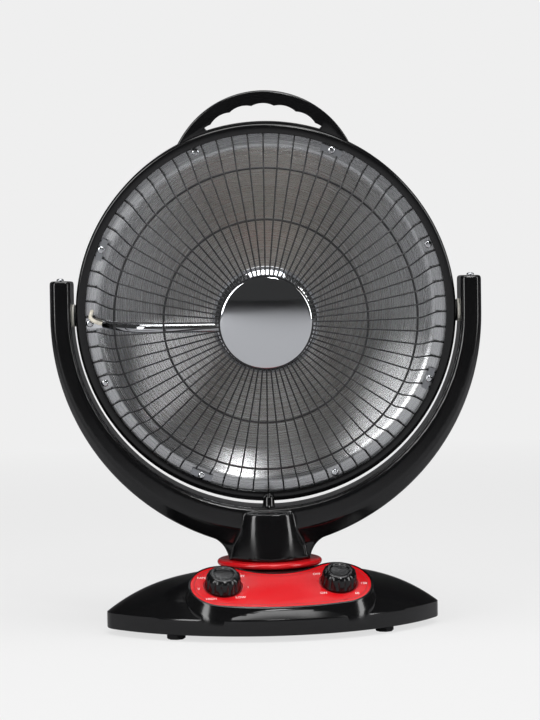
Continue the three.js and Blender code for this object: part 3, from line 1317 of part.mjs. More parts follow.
function elementCoil() {
  const points = coilPoints();
  console.log(`least gap between the coil's turns: ${leastGap(points, 6, COIL_WIRE_RADIUS).toFixed(2)} mm`);
  const rings = points.map((p, i) => {
    const before = points[Math.max(i - 1, 0)];
    const after = points[Math.min(i + 1, points.length - 1)];
    const along = after.clone().sub(before).normalize();
    const out = new THREE.Vector3(p.x, 0, p.z).normalize();
    out.addScaledVector(along, -out.dot(along)).normalize();
    const side = along.clone().cross(out);
    return angles(0, 1.5 * Math.PI, 3).map((turn) => p.clone()
      .addScaledVector(out, COIL_WIRE_RADIUS * Math.cos(turn))
      .addScaledVector(side, COIL_WIRE_RADIUS * Math.sin(turn)));
  });
  return loft(rings);
}

/** The conduit's middle line, from its mouth at the dish's left edge to the element's socket. */
function conduitLine() {
  const reach = SCREW_CIRCLE;
  return [
    [-reach + 16.6, FRONT - 5],
    [-reach + 26.6, FRONT - 18],
    [-reach + 38.6, FRONT - 31],
    [-reach + 54, CONDUIT_Y + 2.2],
    [-reach + 72, CONDUIT_Y],
    [-(reach + SOCKET_RADIUS) / 2, CONDUIT_Y],
    [-CUP_RADIUS, CONDUIT_Y],
    [-SOCKET_RADIUS - 1, CONDUIT_Y],
  ].map(([x, y]) => new THREE.Vector3(x, y, CONDUIT_Z));
}

function conduitTube() {
  const line = conduitLine();
  const body = tube(line, CONDUIT_RADIUS, CONDUIT_RADIUS - CONDUIT_WALL, 8, 14);
  const lugFront = FLANGE_FRONT - GAP - LUG_THICKNESS;
  const mouth = line[0];
  const lugRing = (x, y, half) => [
    new THREE.Vector3(x, y, CONDUIT_Z - half),
    new THREE.Vector3(x, y + LUG_THICKNESS, CONDUIT_Z - half),
    new THREE.Vector3(x, y + LUG_THICKNESS, CONDUIT_Z + half),
    new THREE.Vector3(x, y, CONDUIT_Z + half),
  ];
  const half = LUG_HALF_WIDTH;
  const strap = loft([
    lugRing(-SCREW_CIRCLE - LUG_END, lugFront, half),
    lugRing(-SCREW_CIRCLE + half + 4, lugFront, half),
    lugRing(mouth.x + 6.5, mouth.y - 2.15, half / 2),
  ]);
  const hole = bar('y', SCREW_HOLE, lugFront - 1, FLANGE_FRONT, [-SCREW_CIRCLE, CONDUIT_Z], 8);
  return cut(join(body, strap), hole);
}

/** The sleeved lead: out of the hollow pivot, through the dish's flange and along the conduit. */
function elementLead() {
  const front = FLANGE_FRONT;
  const route = [
    [LEAD_HOLE_X - 11.5, 0, 0],
    [LEAD_HOLE_X - 7.9, -0.1, 0.3],
    [LEAD_HOLE_X - 4.1, -0.7, 2],
    [LEAD_HOLE_X - 1.1, -2.8, 4.3],
    [LEAD_HOLE_X, front + 2.6, LEAD_HOLE_Z],
    [LEAD_HOLE_X, front - 1.8, LEAD_HOLE_Z],
    [LEAD_HOLE_X - 0.5, front - 4.6, LEAD_HOLE_Z - 1.8],
    [LEAD_HOLE_X - 1.1, front - 5.8, LEAD_HOLE_Z - 5.5],
    [LEAD_HOLE_X + 2.9, front - 7.8, CONDUIT_Z + 2.9],
    [LEAD_HOLE_X + 9.1, front - 9.2, CONDUIT_Z + 0.7],
    [LEAD_HOLE_X + 14.2, front - 12, CONDUIT_Z],
  ].map((p) => new THREE.Vector3(...p));
  const end = new THREE.Vector3(-SOCKET_RADIUS - 2, CONDUIT_Y, CONDUIT_Z);
  return tube([...route, ...conduitLine().slice(1, -1), end], LEAD_RADIUS, 0, 6, 34);
}

/** A pan-head screw along Y with its head's underside at a depth. */
function panScrew(x, z, underside, length) {
  const head = underside - SCREW_HEAD_HEIGHT;
  const screw = turnedY([
    [0, head],
    [SCREW_HEAD_RADIUS * 0.6, head],
    [SCREW_HEAD_RADIUS, head + SCREW_HEAD_HEIGHT * 0.6],
    [SCREW_HEAD_RADIUS, underside],
    [SCREW_SHANK_RADIUS, underside],
    [SCREW_SHANK_RADIUS, underside + length],
    [0, underside + length],
  ], 8);
  return screw.translate([x, 0, z]);
}

/** A curved clip plate over the guard's wires, flush inside the rim's opening. */
function guardClip(turn) {
  const outer = RIM_OPENING - CLIP_ROOM;
  const inner = outer - CLIP_WIDTH;
  const half = radians(CLIP_HALF_ANGLE);
  const shape = new THREE.Shape([
    ...angles(-half, half, 4).map((a) => onCircle(0, 0, outer, a)),
    ...angles(half, -half, 4).map((a) => onCircle(0, 0, inner, a)),
  ]);
  const hole = onCircle(SCREW_CIRCLE, 0, SCREW_HOLE, 0);
  shape.holes.push(new THREE.Path(angles(0, 2 * Math.PI, 8).slice(0, -1)
    .map((a) => new THREE.Vector2(hole.x - SCREW_HOLE, 0).add(onCircle(0, 0, SCREW_HOLE, a)))));
  const plate = new THREE.ExtrudeGeometry(shape, { depth: CLIP_THICKNESS, bevelEnabled: false });
  return solid(plate.rotateX(Math.PI / 2).translate(0, CLIP_BACK, 0)).rotate([0, -turn, 0]);
}

function pivotPin(side) {
  const inner = RIM_RADIUS - PIVOT_BLOCK_LENGTH + 1;
  const outer = YOKE_INNER_RADIUS + PIVOT_BOSS_LENGTH + RUNNING_GAP + NUT_THICKNESS + 1;
  const pin = turnedY([[PIN_BORE, inner], [PIN_RADIUS, inner], [PIN_RADIUS, outer], [PIN_BORE, outer]], 12);
  return pin.rotate([0, 0, side * -90]);
}

function pivotNut(side) {
  const from = YOKE_INNER_RADIUS + PIVOT_BOSS_LENGTH + RUNNING_GAP;
  const hexagon = bar('x', NUT_RADIUS, from, from + NUT_THICKNESS, [0, 0], 6);
  const bore = bar('x', PIN_RADIUS + FIT, from - 1, from + NUT_THICKNESS + 1, [0, 0], 12);
  return cut(hexagon, bore).rotate([0, 0, side > 0 ? 0 : 180]);
}

function buildHead(group) {
  addPart(group, 'head_rim', headRim(), 'glossBlack');
  addPart(group, 'rear_cover', rearCover(), 'satinBlack');
  addPart(group, 'reflector', reflector(), 'spunAluminium');
  addPart(group, 'wire_guard', wireGuard(), 'blackWire');
  addPart(group, 'centre_disc', centreDisc(), 'chrome');
  addPart(group, 'front_cup', frontCup(), 'chrome');
  addPart(group, 'element_core', elementCore(), 'ceramic');
  addPart(group, 'element_coil', elementCoil(), 'heatAlloy');
  addPart(group, 'conduit_tube', conduitTube(), 'chrome');
  addPart(group, 'element_lead', elementLead(), 'glassSleeve');
  const lugFront = FLANGE_FRONT - GAP - LUG_THICKNESS;
  const lugScrew = panScrew(-SCREW_CIRCLE, CONDUIT_Z, lugFront - GAP, LUG_SCREW_LENGTH);
  addPart(group, 'conduit_screw', lugScrew, 'chrome');
  screwAngles().forEach((turn, i) => {
    const at = onCircle(0, 0, SCREW_CIRCLE, radians(turn));
    const clipped = i % 2 === 1;
    const underside = clipped ? CLIP_FRONT - GAP : FLANGE_FRONT - GAP;
    addPart(group, `rim_screw_${i + 1}`, panScrew(at.x, at.y, underside, SCREW_LENGTH), 'chrome');
    if (clipped) addPart(group, `guard_clip_${(i + 1) / 2}`, guardClip(turn), 'steel');
  });
  for (const [word, side] of [['left', -1], ['right', 1]]) {
    addPart(group, `pivot_pin_${word}`, pivotPin(side), 'steel');
    addPart(group, `pivot_nut_${word}`, pivotNut(side), 'steel');
  }
}

// ---------------------------------------------------------------------------------------------
// The whole heater
// ---------------------------------------------------------------------------------------------

const heater = new THREE.Group();
const standing = frameAt(heater, [0, 0, 0], [0, 0, 0]);
buildBase(standing);
const swivel = frameAt(standing, [0, AXIS_SETBACK, 0], [0, 0, REST_SWIVEL]);
buildYoke(swivel);
buildHead(frameAt(swivel, [0, 0, PIVOT_HEIGHT], [REST_TILT, 0, 0]));

// The origin goes to the floor under the middle of the whole.
const middle = new THREE.Box3().setFromObject(heater, true).getCenter(new THREE.Vector3());
standing.position.set(-middle.x, -middle.y, 0);
heater.updateMatrixWorld(true);

export default heater;
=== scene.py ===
import json
import logging
import math
from dataclasses import dataclass, field
from enum import Enum
from typing import Any, Iterable, Optional, Sequence

import bmesh
import bpy
from mathutils import Matrix, Vector


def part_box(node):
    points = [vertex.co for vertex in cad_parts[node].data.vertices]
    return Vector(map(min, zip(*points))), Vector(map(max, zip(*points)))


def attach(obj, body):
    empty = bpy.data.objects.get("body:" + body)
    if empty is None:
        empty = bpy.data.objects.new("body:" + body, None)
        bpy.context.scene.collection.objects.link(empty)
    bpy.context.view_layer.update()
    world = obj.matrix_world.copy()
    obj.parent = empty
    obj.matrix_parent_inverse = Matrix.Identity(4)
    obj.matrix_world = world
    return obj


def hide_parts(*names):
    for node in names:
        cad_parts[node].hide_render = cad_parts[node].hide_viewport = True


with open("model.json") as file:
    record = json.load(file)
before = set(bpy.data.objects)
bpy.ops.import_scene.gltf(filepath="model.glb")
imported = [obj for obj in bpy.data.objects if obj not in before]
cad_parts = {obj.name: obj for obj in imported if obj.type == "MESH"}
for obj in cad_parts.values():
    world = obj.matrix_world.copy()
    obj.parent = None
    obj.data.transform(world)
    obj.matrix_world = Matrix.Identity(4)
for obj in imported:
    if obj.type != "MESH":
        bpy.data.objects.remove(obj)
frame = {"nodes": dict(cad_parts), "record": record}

LOG = logging.getLogger("heater")
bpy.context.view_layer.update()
MM = 0.001
TAU = 2 * math.pi
# Between two pieces that seat on each other, in millimetres.
SEAT = 0.3

# A profile or a flat outline, in millimetres.
Outline = list[tuple[float, float]]


# ---------------------------------------------------------------------------------------------
# Numbers and colours
# ---------------------------------------------------------------------------------------------


def linear(code: str) -> tuple[float, float, float, float]:
    """Turn an sRGB hex colour to the linear values that a shader takes.

    Args:
        code: Six hex digits, such as "c4c6c9".

    Returns:
        Red, green, blue and alpha.
    """
    channels = [int(code[i:i + 2], 16) / 255 for i in (0, 2, 4)]
    straight = [c / 12.92 if c <= 0.04045 else ((c + 0.055) / 1.055) ** 2.4 for c in channels]
    return (straight[0], straight[1], straight[2], 1.0)


def spread(low: float, high: float, steps: int) -> list[float]:
    """Even steps from low to high, both included."""
    return [low + (high - low) * i / steps for i in range(steps + 1)]


def arc(x: float, y: float, radius: float, start: float, end: float, steps: int) -> Outline:
    """Points on a circle's arc, both ends included.

    Args:
        x: The centre's first coordinate.
        y: The centre's second coordinate.
        radius: The circle's radius.
        start: The first angle, in radians.
        end: The last angle, in radians.
        steps: How many straight runs stand for the arc.

    Returns:
        The points in order.
    """
    return [(x + radius * math.cos(a), y + radius * math.sin(a)) for a in spread(start, end, steps)]


def eased(points: Outline, radius: float, steps: int = 4) -> Outline:
    """Round the corners of an open profile, leaving its ends.

    Args:
        points: The profile's corners.
        radius: How far from each corner its rounding starts.
        steps: How many straight runs stand for one corner.

    Returns:
        The profile with each corner drawn as a short curve.
    """
    out = [points[0]]
    for before, corner, after in zip(points, points[1:], points[2:]):
        p, a, b = Vector(corner), Vector(before), Vector(after)
        start = p + (a - p).normalized() * min(radius, (a - p).length * 0.45)
        end = p + (b - p).normalized() * min(radius, (b - p).length * 0.45)
        for t in spread(0, 1, steps):
            q = start * (1 - t) ** 2 + p * 2 * t * (1 - t) + end * t ** 2
            out.append((q.x, q.y))
    out.append(points[-1])
    return out


# ---------------------------------------------------------------------------------------------
# Places: where each sub-assembly stands in the frame, at rest
# ---------------------------------------------------------------------------------------------


@dataclass(frozen=True)
class Stand:
    """How the heater stands at rest, in millimetres and degrees."""

    foot_y: float = -47.0
    axis_setback: float = 25.0
    pivot_height: float = 311.0
    swivel: float = -8.0
    tilt: float = 6.5
    panel_y: float = -52.0
    panel_z: float = 50.2
    panel_tilt: float = 28.5
    knob_offset: float = 56.5

    def base(self) -> Matrix:
        """Millimetres on the base's plan to the frame, set out from the front left foot."""
        low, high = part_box("foot_1")
        shift = (low[1] + high[1]) / 2 - self.foot_y * MM
        return Matrix.Translation((0, shift, 0)) @ Matrix.Scale(MM, 4)

    def panel(self) -> Matrix:
        """Millimetres on the panel's plane to the frame."""
        tilt = Matrix.Rotation(math.radians(self.panel_tilt), 4, "X")
        return self.base() @ Matrix.Translation((0, self.panel_y, self.panel_z)) @ tilt

    def knob(self, side: int) -> Matrix:
        """Millimetres round one knob's axis to the frame."""
        return self.panel() @ Matrix.Translation((side * self.knob_offset, 0, 0))

    def yoke(self) -> Matrix:
        """Millimetres round the swivel axis to the frame."""
        turn = Matrix.Rotation(math.radians(self.swivel), 4, "Z")
        return self.base() @ Matrix.Translation((0, self.axis_setback, 0)) @ turn

    def head(self) -> Matrix:
        """Millimetres round the dish's axis, which is Y, to the frame."""
        tilt = Matrix.Rotation(math.radians(self.tilt), 4, "X")
        return self.yoke() @ Matrix.Translation((0, 0, self.pivot_height)) @ tilt


STAND = Stand()


# ---------------------------------------------------------------------------------------------
# Finishes
# ---------------------------------------------------------------------------------------------


def add_node(tree: bpy.types.NodeTree, kind: str, settings: dict[str, Any],
             links: dict[str, Any]) -> bpy.types.Node:
    """Add a node with its settings and its inputs.

    Args:
        tree: The material's or world's nodes.
        kind: The node's type.
        settings: Attributes of the node.
        links: Input name to a value, or to an output socket that feeds it.

    Returns:
        The node.
    """
    node = tree.nodes.new(kind)
    for name, value in settings.items():
        setattr(node, name, value)
    for name, value in links.items():
        if isinstance(value, bpy.types.NodeSocket):
            tree.links.new(value, node.inputs[name])
        else:
            node.inputs[name].default_value = value
    return node


@dataclass(frozen=True)
class Finish:
    """A surface of one real material. Colours are sRGB hex and sizes are millimetres."""

    name: str
    colour: str
    roughness: float
    metallic: float = 0.0
    ior: float = 1.5
    grain: float = 0.0
    grain_size: float = 1.0
    wear: float = 0.0
    wear_size: float = 40.0

    def material(self) -> bpy.types.Material:
        """The finish as a material, made the first time that it is asked for."""
        made = bpy.data.materials.get(self.name)
        if made:
            return made
        made = bpy.data.materials.new(self.name)
        made.use_nodes = True
        tree = made.node_tree
        shader = tree.nodes["Principled BSDF"]
        shader.inputs["Base Color"].default_value = linear(self.colour)
        shader.inputs["Roughness"].default_value = self.roughness
        shader.inputs["Metallic"].default_value = self.metallic
        if self.metallic == 0:
            shader.inputs["IOR"].default_value = self.ior
        place = add_node(tree, "ShaderNodeTexCoord", {}, {}).outputs["Object"]
        self.dress(tree, shader, place)
        return made

    def dress(self, tree: bpy.types.NodeTree, shader: bpy.types.Node,
              place: bpy.types.NodeSocket) -> None:
        """Add what is not the same all over: handling marks in the gloss, and a fine grain.

        Args:
            tree: The material's nodes.
            shader: Its Principled BSDF.
            place: Object coordinates.
        """
        marks = add_node(tree, "ShaderNodeTexNoise", {}, {
            "Vector": place, "Scale": 1 / (self.wear_size * MM), "Detail": 4.0})
        gloss = add_node(tree, "ShaderNodeMapRange", {}, {
            "Value": marks.outputs["Fac"], "From Min": 0.35, "From Max": 0.65,
            "To Min": self.roughness, "To Max": self.roughness + self.wear})
        tree.links.new(gloss.outputs["Result"], shader.inputs["Roughness"])
        if self.grain > 0:
            speck = add_node(tree, "ShaderNodeTexNoise", {}, {
                "Vector": place, "Scale": 1 / (self.grain_size * MM), "Detail": 2.0})
            bump = add_node(tree, "ShaderNodeBump", {}, {
                "Height": speck.outputs["Fac"], "Strength": self.grain, "Distance": 0.05 * MM})
            tree.links.new(bump.outputs["Normal"], shader.inputs["Normal"])


@dataclass(frozen=True)
class SpunFinish(Finish):
    """Sheet metal polished while it spins: fine rings round the dish's axis."""

    ring_pitch: float = 1.4
    ring_depth: float = 0.02
    stretch: float = 0.85
    quarter_turn: float = 0.25
    sheen: tuple[float, float] = (-0.05, 0.07)

    def dress(self, tree: bpy.types.NodeTree, shader: bpy.types.Node,
              place: bpy.types.NodeSocket) -> None:
        """Add the rings that the spinning tool leaves, which blur the gloss along the radius.

        Args:
            tree: The material's nodes.
            shader: Its Principled BSDF.
            place: Object coordinates.
        """
        centre = STAND.head().to_translation()
        turn = (STAND.head().to_3x3() * (1 / MM)).to_euler()
        local = add_node(tree, "ShaderNodeMapping", {"vector_type": "TEXTURE"}, {
            "Vector": place, "Location": centre, "Rotation": (turn.x, turn.y, turn.z)})
        parts = add_node(tree, "ShaderNodeSeparateXYZ", {}, {"Vector": local.outputs["Vector"]})
        flat = add_node(tree, "ShaderNodeCombineXYZ", {}, {
            "X": parts.outputs["X"], "Z": parts.outputs["Z"]})
        axis = STAND.head().to_3x3() @ Vector((0, 1000, 0))
        out = add_node(tree, "ShaderNodeVectorMath", {"operation": "SUBTRACT"}, {0: place, 1: centre})
        around = add_node(tree, "ShaderNodeVectorMath", {"operation": "CROSS_PRODUCT"}, {
            0: axis, 1: out.outputs[0]})
        brushed = add_node(tree, "ShaderNodeVectorTransform", {
            "vector_type": "VECTOR", "convert_from": "OBJECT", "convert_to": "WORLD"}, {
                0: around.outputs[0]})
        tree.links.new(brushed.outputs[0], shader.inputs["Tangent"])
        shader.inputs["Anisotropic"].default_value = self.stretch
        shader.inputs["Anisotropic Rotation"].default_value = self.quarter_turn
        reach = add_node(tree, "ShaderNodeVectorMath", {"operation": "LENGTH"}, {
            "Vector": flat.outputs["Vector"]})
        line = add_node(tree, "ShaderNodeTexNoise", {"noise_dimensions": "1D"}, {
            "W": reach.outputs["Value"], "Scale": 1 / (self.ring_pitch * MM), "Detail": 3.0})
        bump = add_node(tree, "ShaderNodeBump", {}, {
            "Height": line.outputs["Fac"], "Strength": self.ring_depth, "Distance": 0.2 * MM})
        tree.links.new(bump.outputs["Normal"], shader.inputs["Normal"])
        gloss = add_node(tree, "ShaderNodeMapRange", {}, {
            "Value": line.outputs["Fac"], "To Min": self.roughness + self.sheen[0],
            "To Max": self.roughness + self.sheen[1]})
        tree.links.new(gloss.outputs["Result"], shader.inputs["Roughness"])


@dataclass(frozen=True)
class WovenFinish(Finish):
    """A braided sleeve: two sets of threads that cross."""

    thread: float = 0.8

    def dress(self, tree: bpy.types.NodeTree, shader: bpy.types.Node,
              place: bpy.types.NodeSocket) -> None:
        """Add the crossing threads as a fine relief.

        Args:
            tree: The material's nodes.
            shader: Its Principled BSDF.
            place: Object coordinates.
        """
        size = 1 / (self.thread * MM)
        waves = [add_node(tree, "ShaderNodeTexWave", {"bands_direction": way}, {
            "Vector": place, "Scale": size / 6}).outputs["Fac"] for way in ("DIAGONAL", "Z")]
        braid = add_node(tree, "ShaderNodeMath", {"operation": "MULTIPLY"}, {0: waves[0], 1: waves[1]})
        bump = add_node(tree, "ShaderNodeBump", {}, {
            "Height": braid.outputs[0], "Strength": 0.5, "Distance": 0.2 * MM})
        tree.links.new(bump.outputs["Normal"], shader.inputs["Normal"])


# Injection-moulded ABS in a polished mould: near black, with clear highlights.
GLOSS_BLACK = Finish("black ABS, polished mould", "0c0c0d", 0.13, wear=0.05)
# Moulded polypropylene with an eroded texture: the eye sees a dull, even black.
SATIN_BLACK = Finish("black polypropylene, eroded mould", "1b1b1d", 0.45,
                     grain=0.3, grain_size=0.9, wear=0.1)
# Red ABS in a polished mould.
GLOSS_RED = Finish("red ABS, polished mould", "d4121a", 0.2, ior=1.54, wear=0.06)
# The same red darkened as painted shade, for the sunk line and the knob wells where shade falls; the
# mould there was also left dull.
SHADED_RED = Finish("red ABS, dull mould, painted shade", "8e0a10", 0.5, wear=0.08)
# Steel with bright chrome plate: a mirror with a cool tint.
CHROME = Finish("chrome plate, polished", "dcdee1", 0.05, metallic=1.0, wear=0.04)
# Aluminium sheet spun over a former and polished.
SPUN_ALUMINIUM = SpunFinish("aluminium sheet, spun and polished", "d4d5d7", 0.26, metallic=1.0)
# Steel wire with a black powder coat: satin, slightly pebbled.
BLACK_WIRE = Finish("steel wire, black powder coat", "19191b", 0.32,
                    grain=0.2, grain_size=0.6, wear=0.06)
# Zinc plate over steel.
ZINC = Finish("steel, zinc plate", "a9abaf", 0.34, metallic=1.0, wear=0.1)
# Unglazed steatite ceramic: chalky, faintly warm.
CERAMIC = Finish("steatite ceramic, unglazed", "e6e0d2", 0.7, grain=0.3, grain_size=0.5, wear=0.1)
# Iron-chromium resistance wire after its first heat.
HEAT_ALLOY = Finish("resistance wire, oxidised", "8b7d72", 0.45, metallic=1.0, wear=0.1)
# Grey iron as it comes from the sand.
CAST_IRON = Finish("grey iron, sand cast", "4b4b4d", 0.7, metallic=0.6,
                   grain=0.8, grain_size=1.2, wear=0.1)
# Black rubber, moulded.
RUBBER = Finish("black rubber, moulded", "18181a", 0.75, grain=0.4, grain_size=0.8, wear=0.1)
# Natural nylon, moulded.
NYLON = Finish("natural nylon, moulded", "e4e1d7", 0.5, wear=0.08)
# Braided glass-fibre sleeve.
GLASS_SLEEVE = WovenFinish("glass-fibre sleeve, braided", "d9d3c4", 0.8)
# PVC sheath of a cable.
SHEATH = Finish("black PVC sheath", "151517", 0.4, wear=0.08)
# White ink printed on the panel.
INK = Finish("white pad-printing ink", "f2f0ee", 0.4, wear=0.05)


class Slot(Enum):
    """The record's material slots."""

    GLOSS_BLACK = "gloss_black"
    SATIN_BLACK = "satin_black"
    GLOSS_RED = "gloss_red"
    CHROME = "chrome"
    SPUN = "spun_aluminium"
    WIRE = "black_wire"
    STEEL = "steel"
    CERAMIC = "ceramic"
    HEAT_ALLOY = "heat_alloy"
    CAST_IRON = "cast_iron"
    RUBBER = "rubber"
    NYLON = "nylon"
    GLASS_SLEEVE = "glass_sleeve"
    SHEATH = "black_sleeve"


FINISH_OF: dict[Slot, Finish] = {
    Slot.GLOSS_BLACK: GLOSS_BLACK, Slot.SATIN_BLACK: SATIN_BLACK, Slot.GLOSS_RED: GLOSS_RED,
    Slot.CHROME: CHROME, Slot.SPUN: SPUN_ALUMINIUM, Slot.WIRE: BLACK_WIRE, Slot.STEEL: ZINC,
    Slot.CERAMIC: CERAMIC, Slot.HEAT_ALLOY: HEAT_ALLOY, Slot.CAST_IRON: CAST_IRON,
    Slot.RUBBER: RUBBER, Slot.NYLON: NYLON, Slot.GLASS_SLEEVE: GLASS_SLEEVE, Slot.SHEATH: SHEATH,
}


# ---------------------------------------------------------------------------------------------
# Shapes, all in millimetres until they are placed
# ---------------------------------------------------------------------------------------------


class Axis(Enum):
    """The axis that a profile is turned about."""

    Y = Vector((0, 1, 0))
    Z = Vector((0, 0, 1))


def turned(profile: Outline, axis: Axis, steps: int = 128) -> bmesh.types.BMesh:
    """Turn a profile about an axis.

    Args:
        profile: Points of (radius, height). A closed ring repeats its first point at the end, and any
            other profile starts and ends on the axis.
        axis: The axis to turn about.
        steps: How many straight runs go round.

    Returns:
        A closed mesh with its faces out.
    """
    bm = bmesh.new()
    up = axis.value
    verts = [bm.verts.new(Vector((r, 0, 0)) + up * h) for r, h in profile]
    edges = [bm.edges.new(pair) for pair in zip(verts, verts[1:])]
    bmesh.ops.spin(bm, geom=verts + edges, cent=(0, 0, 0), axis=up, angle=TAU, steps=steps,
                   use_merge=True)
    bmesh.ops.remove_doubles(bm, verts=bm.verts, dist=1e-4)
    bmesh.ops.recalc_face_normals(bm, faces=bm.faces)
    return bm


def lofted(rings: Sequence[Sequence[Vector]], capped: bool = True) -> bmesh.types.BMesh:
    """Draw a skin through rings of equally many points.

    Args:
        rings: The rings in order.
        capped: Whether both ends are closed.

    Returns:
        The mesh with its faces out.
    """
    bm = bmesh.new()
    verts = [bm.verts.new(p) for p in rings[0]]
    edges = [bm.edges.new((v, verts[(i + 1) % len(verts)])) for i, v in enumerate(verts)]
    if capped:
        bm.faces.new(verts)
    for ring in rings[1:]:
        made = bmesh.ops.extrude_edge_only(bm, edges=edges)["geom"]
        edges = [g for g in made if isinstance(g, bmesh.types.BMEdge)]
        fresh = [g for g in made if isinstance(g, bmesh.types.BMVert)]
        for vert, place in zip(fresh, ring):
            vert.co = place
    if capped:
        bmesh.ops.contextual_create(bm, geom=edges)
    bmesh.ops.recalc_face_normals(bm, faces=bm.faces)
    return bm


def swept(path: Sequence[Vector], radius: float, sides: int, lift: Vector = Vector((0, 0, 1)),
          capped: bool = True) -> bmesh.types.BMesh:
    """Run a round section along a path.

    Args:
        path: The middle line's points.
        radius: The section's radius.
        sides: How many straight runs go round the section.
        lift: A direction that the path never follows.
        capped: Whether both ends are closed.

    Returns:
        The mesh with its faces out.
    """
    rings = []
    for i, p in enumerate(path):
        along = (path[min(i + 1, len(path) - 1)] - path[max(i - 1, 0)]).normalized()
        out = (lift - along * lift.dot(along)).normalized()
        lift = out
        side = along.cross(out)
        turns = [TAU * k / sides for k in range(sides)]
        rings.append([p + out * (radius * math.cos(t)) + side * (radius * math.sin(t)) for t in turns])
    return lofted(rings, capped)


def curved(points: Sequence[Sequence[float]], steps: int) -> list[Vector]:
    """A smooth path through points, by the centripetal rule.

    Args:
        points: What the path goes through.
        steps: How many straight runs lie between two points.

    Returns:
        The path's points.
    """
    knots = [Vector(p) for p in points]
    ends = [knots[0] * 2 - knots[1]] + knots + [knots[-1] * 2 - knots[-2]]
    path = []
    for p0, p1, p2, p3 in zip(ends, ends[1:], ends[2:], ends[3:]):
        t0, t1 = 0.0, max((p1 - p0).length, 1e-6) ** 0.5
        t2 = t1 + max((p2 - p1).length, 1e-6) ** 0.5
        t3 = t2 + max((p3 - p2).length, 1e-6) ** 0.5
        for t in spread(t1, t2, steps)[:-1]:
            a1 = p0 * ((t1 - t) / (t1 - t0)) + p1 * ((t - t0) / (t1 - t0))
            a2 = p1 * ((t2 - t) / (t2 - t1)) + p2 * ((t - t1) / (t2 - t1))
            a3 = p2 * ((t3 - t) / (t3 - t2)) + p3 * ((t - t2) / (t3 - t2))
            b1 = a1 * ((t2 - t) / (t2 - t0)) + a2 * ((t - t0) / (t2 - t0))
            b2 = a2 * ((t3 - t) / (t3 - t1)) + a3 * ((t - t1) / (t3 - t1))
            path.append(b1 * ((t2 - t) / (t2 - t1)) + b2 * ((t - t1) / (t2 - t1)))
    return path + [knots[-1]]


def circle(radius: float, steps: int) -> Outline:
    """A circle round the origin, as an outline."""
    return arc(0, 0, radius, 0, TAU, steps)[:-1]


def slab(outline: Outline, low: float, high: float, bevel: float = 0.0) -> bmesh.types.BMesh:
    """Raise a flat outline in the XY plane to a plate.

    Args:
        outline: The plate's outline.
        low: The height of its underside.
        high: The height of its top.
        bevel: The rounding of its upper edge.

    Returns:
        A closed mesh with its faces out.
    """
    bm = bmesh.new()
    face = bm.faces.new([bm.verts.new((x, y, low)) for x, y in outline])
    raised = bmesh.ops.extrude_face_region(bm, geom=[face])["geom"]
    tops = [g for g in raised if isinstance(g, bmesh.types.BMVert)]
    bmesh.ops.translate(bm, verts=tops, vec=(0, 0, high - low))
    if bevel > 0:
        rim = [g for g in raised if isinstance(g, bmesh.types.BMEdge)]
        bmesh.ops.bevel(bm, geom=rim, offset=bevel, segments=3, profile=0.5, affect="EDGES", material=-1)
    bmesh.ops.recalc_face_normals(bm, faces=bm.faces)
    return bm


def moved(bm: bmesh.types.BMesh, matrix: Matrix) -> bmesh.types.BMesh:
    """The same mesh after a transform."""
    bmesh.ops.transform(bm, matrix=matrix, verts=bm.verts)
    return bm


def gathered(parts: Iterable[bmesh.types.BMesh]) -> bmesh.types.BMesh:
    """Put several meshes into one and free them."""
    whole = bmesh.new()
    for part in parts:
        hold = bpy.data.meshes.new("hold")
        part.to_mesh(hold)
        part.free()
        whole.from_mesh(hold)
        bpy.data.meshes.remove(hold)
    return whole


def placed(name: str, mesh: bmesh.types.BMesh, place: Matrix) -> bpy.types.Object:
    """Stand a mesh in the frame as an object without a finish, and free the mesh."""
    moved(mesh, place)
    data = bpy.data.meshes.new(name)
    mesh.to_mesh(data)
    mesh.free()
    thing = bpy.data.objects.new(name, data)
    bpy.context.scene.collection.objects.link(thing)
    return thing


def evaluated(thing: bpy.types.Object) -> bpy.types.Mesh:
    """A new mesh of the object as its modifiers leave it."""
    return bpy.data.meshes.new_from_object(thing.evaluated_get(bpy.context.evaluated_depsgraph_get()))


class Carve(Enum):
    """What a tool does to the object that it meets."""

    JOIN = "UNION"
    CUT = "DIFFERENCE"


def carved(thing: bpy.types.Object, how: Carve,
           tools: Sequence[tuple[bmesh.types.BMesh, Matrix]]) -> None:
    """Join meshes to an object or cut them out of it, and leave it with no modifiers.

    Args:
        thing: The object to change.
        how: Whether the tools are joined or cut out.
        tools: Meshes and their places in the frame.
    """
    solids = [placed("tool", mesh, place) for mesh, place in tools]
    for tool in solids:
        step = thing.modifiers.new("carve", "BOOLEAN")
        step.operation = how.value
        step.solver = "EXACT"
        step.object = tool
    result = evaluated(thing)
    thing.modifiers.clear()
    thing.data = result
    for tool in solids:
        bpy.data.objects.remove(tool)


@dataclass
class Piece:
    """A finished piece: its mesh in millimetres, its place, its body and its finish."""

    name: str
    mesh: bmesh.types.BMesh
    place: Matrix
    slot: Slot
    body: str
    stands_for: tuple[str, ...] = ()
    finish: Optional[Finish] = None
    sharp: float = 32.0

    def solid(self) -> bpy.types.Object:
        """The mesh as an object at the frame's origin, without its finish."""
        return placed(self.name, self.mesh, self.place)

    def build(self, thing: Optional[bpy.types.Object] = None) -> None:
        """Finish the piece and hand it to its body.

        Args:
            thing: The object, where other steps already made it.
        """
        thing = thing or self.solid()
        thing.data.materials.clear()
        thing.data.materials.append((self.finish or FINISH_OF[self.slot]).material())
        thing.data.shade_smooth()
        thing.data.set_sharp_from_angle(angle=math.radians(self.sharp))
        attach(thing, self.body)
        if self.stands_for:
            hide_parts(*self.stands_for)
        LOG.info("%s: %d faces on %s", self.name, len(thing.data.polygons), self.body)


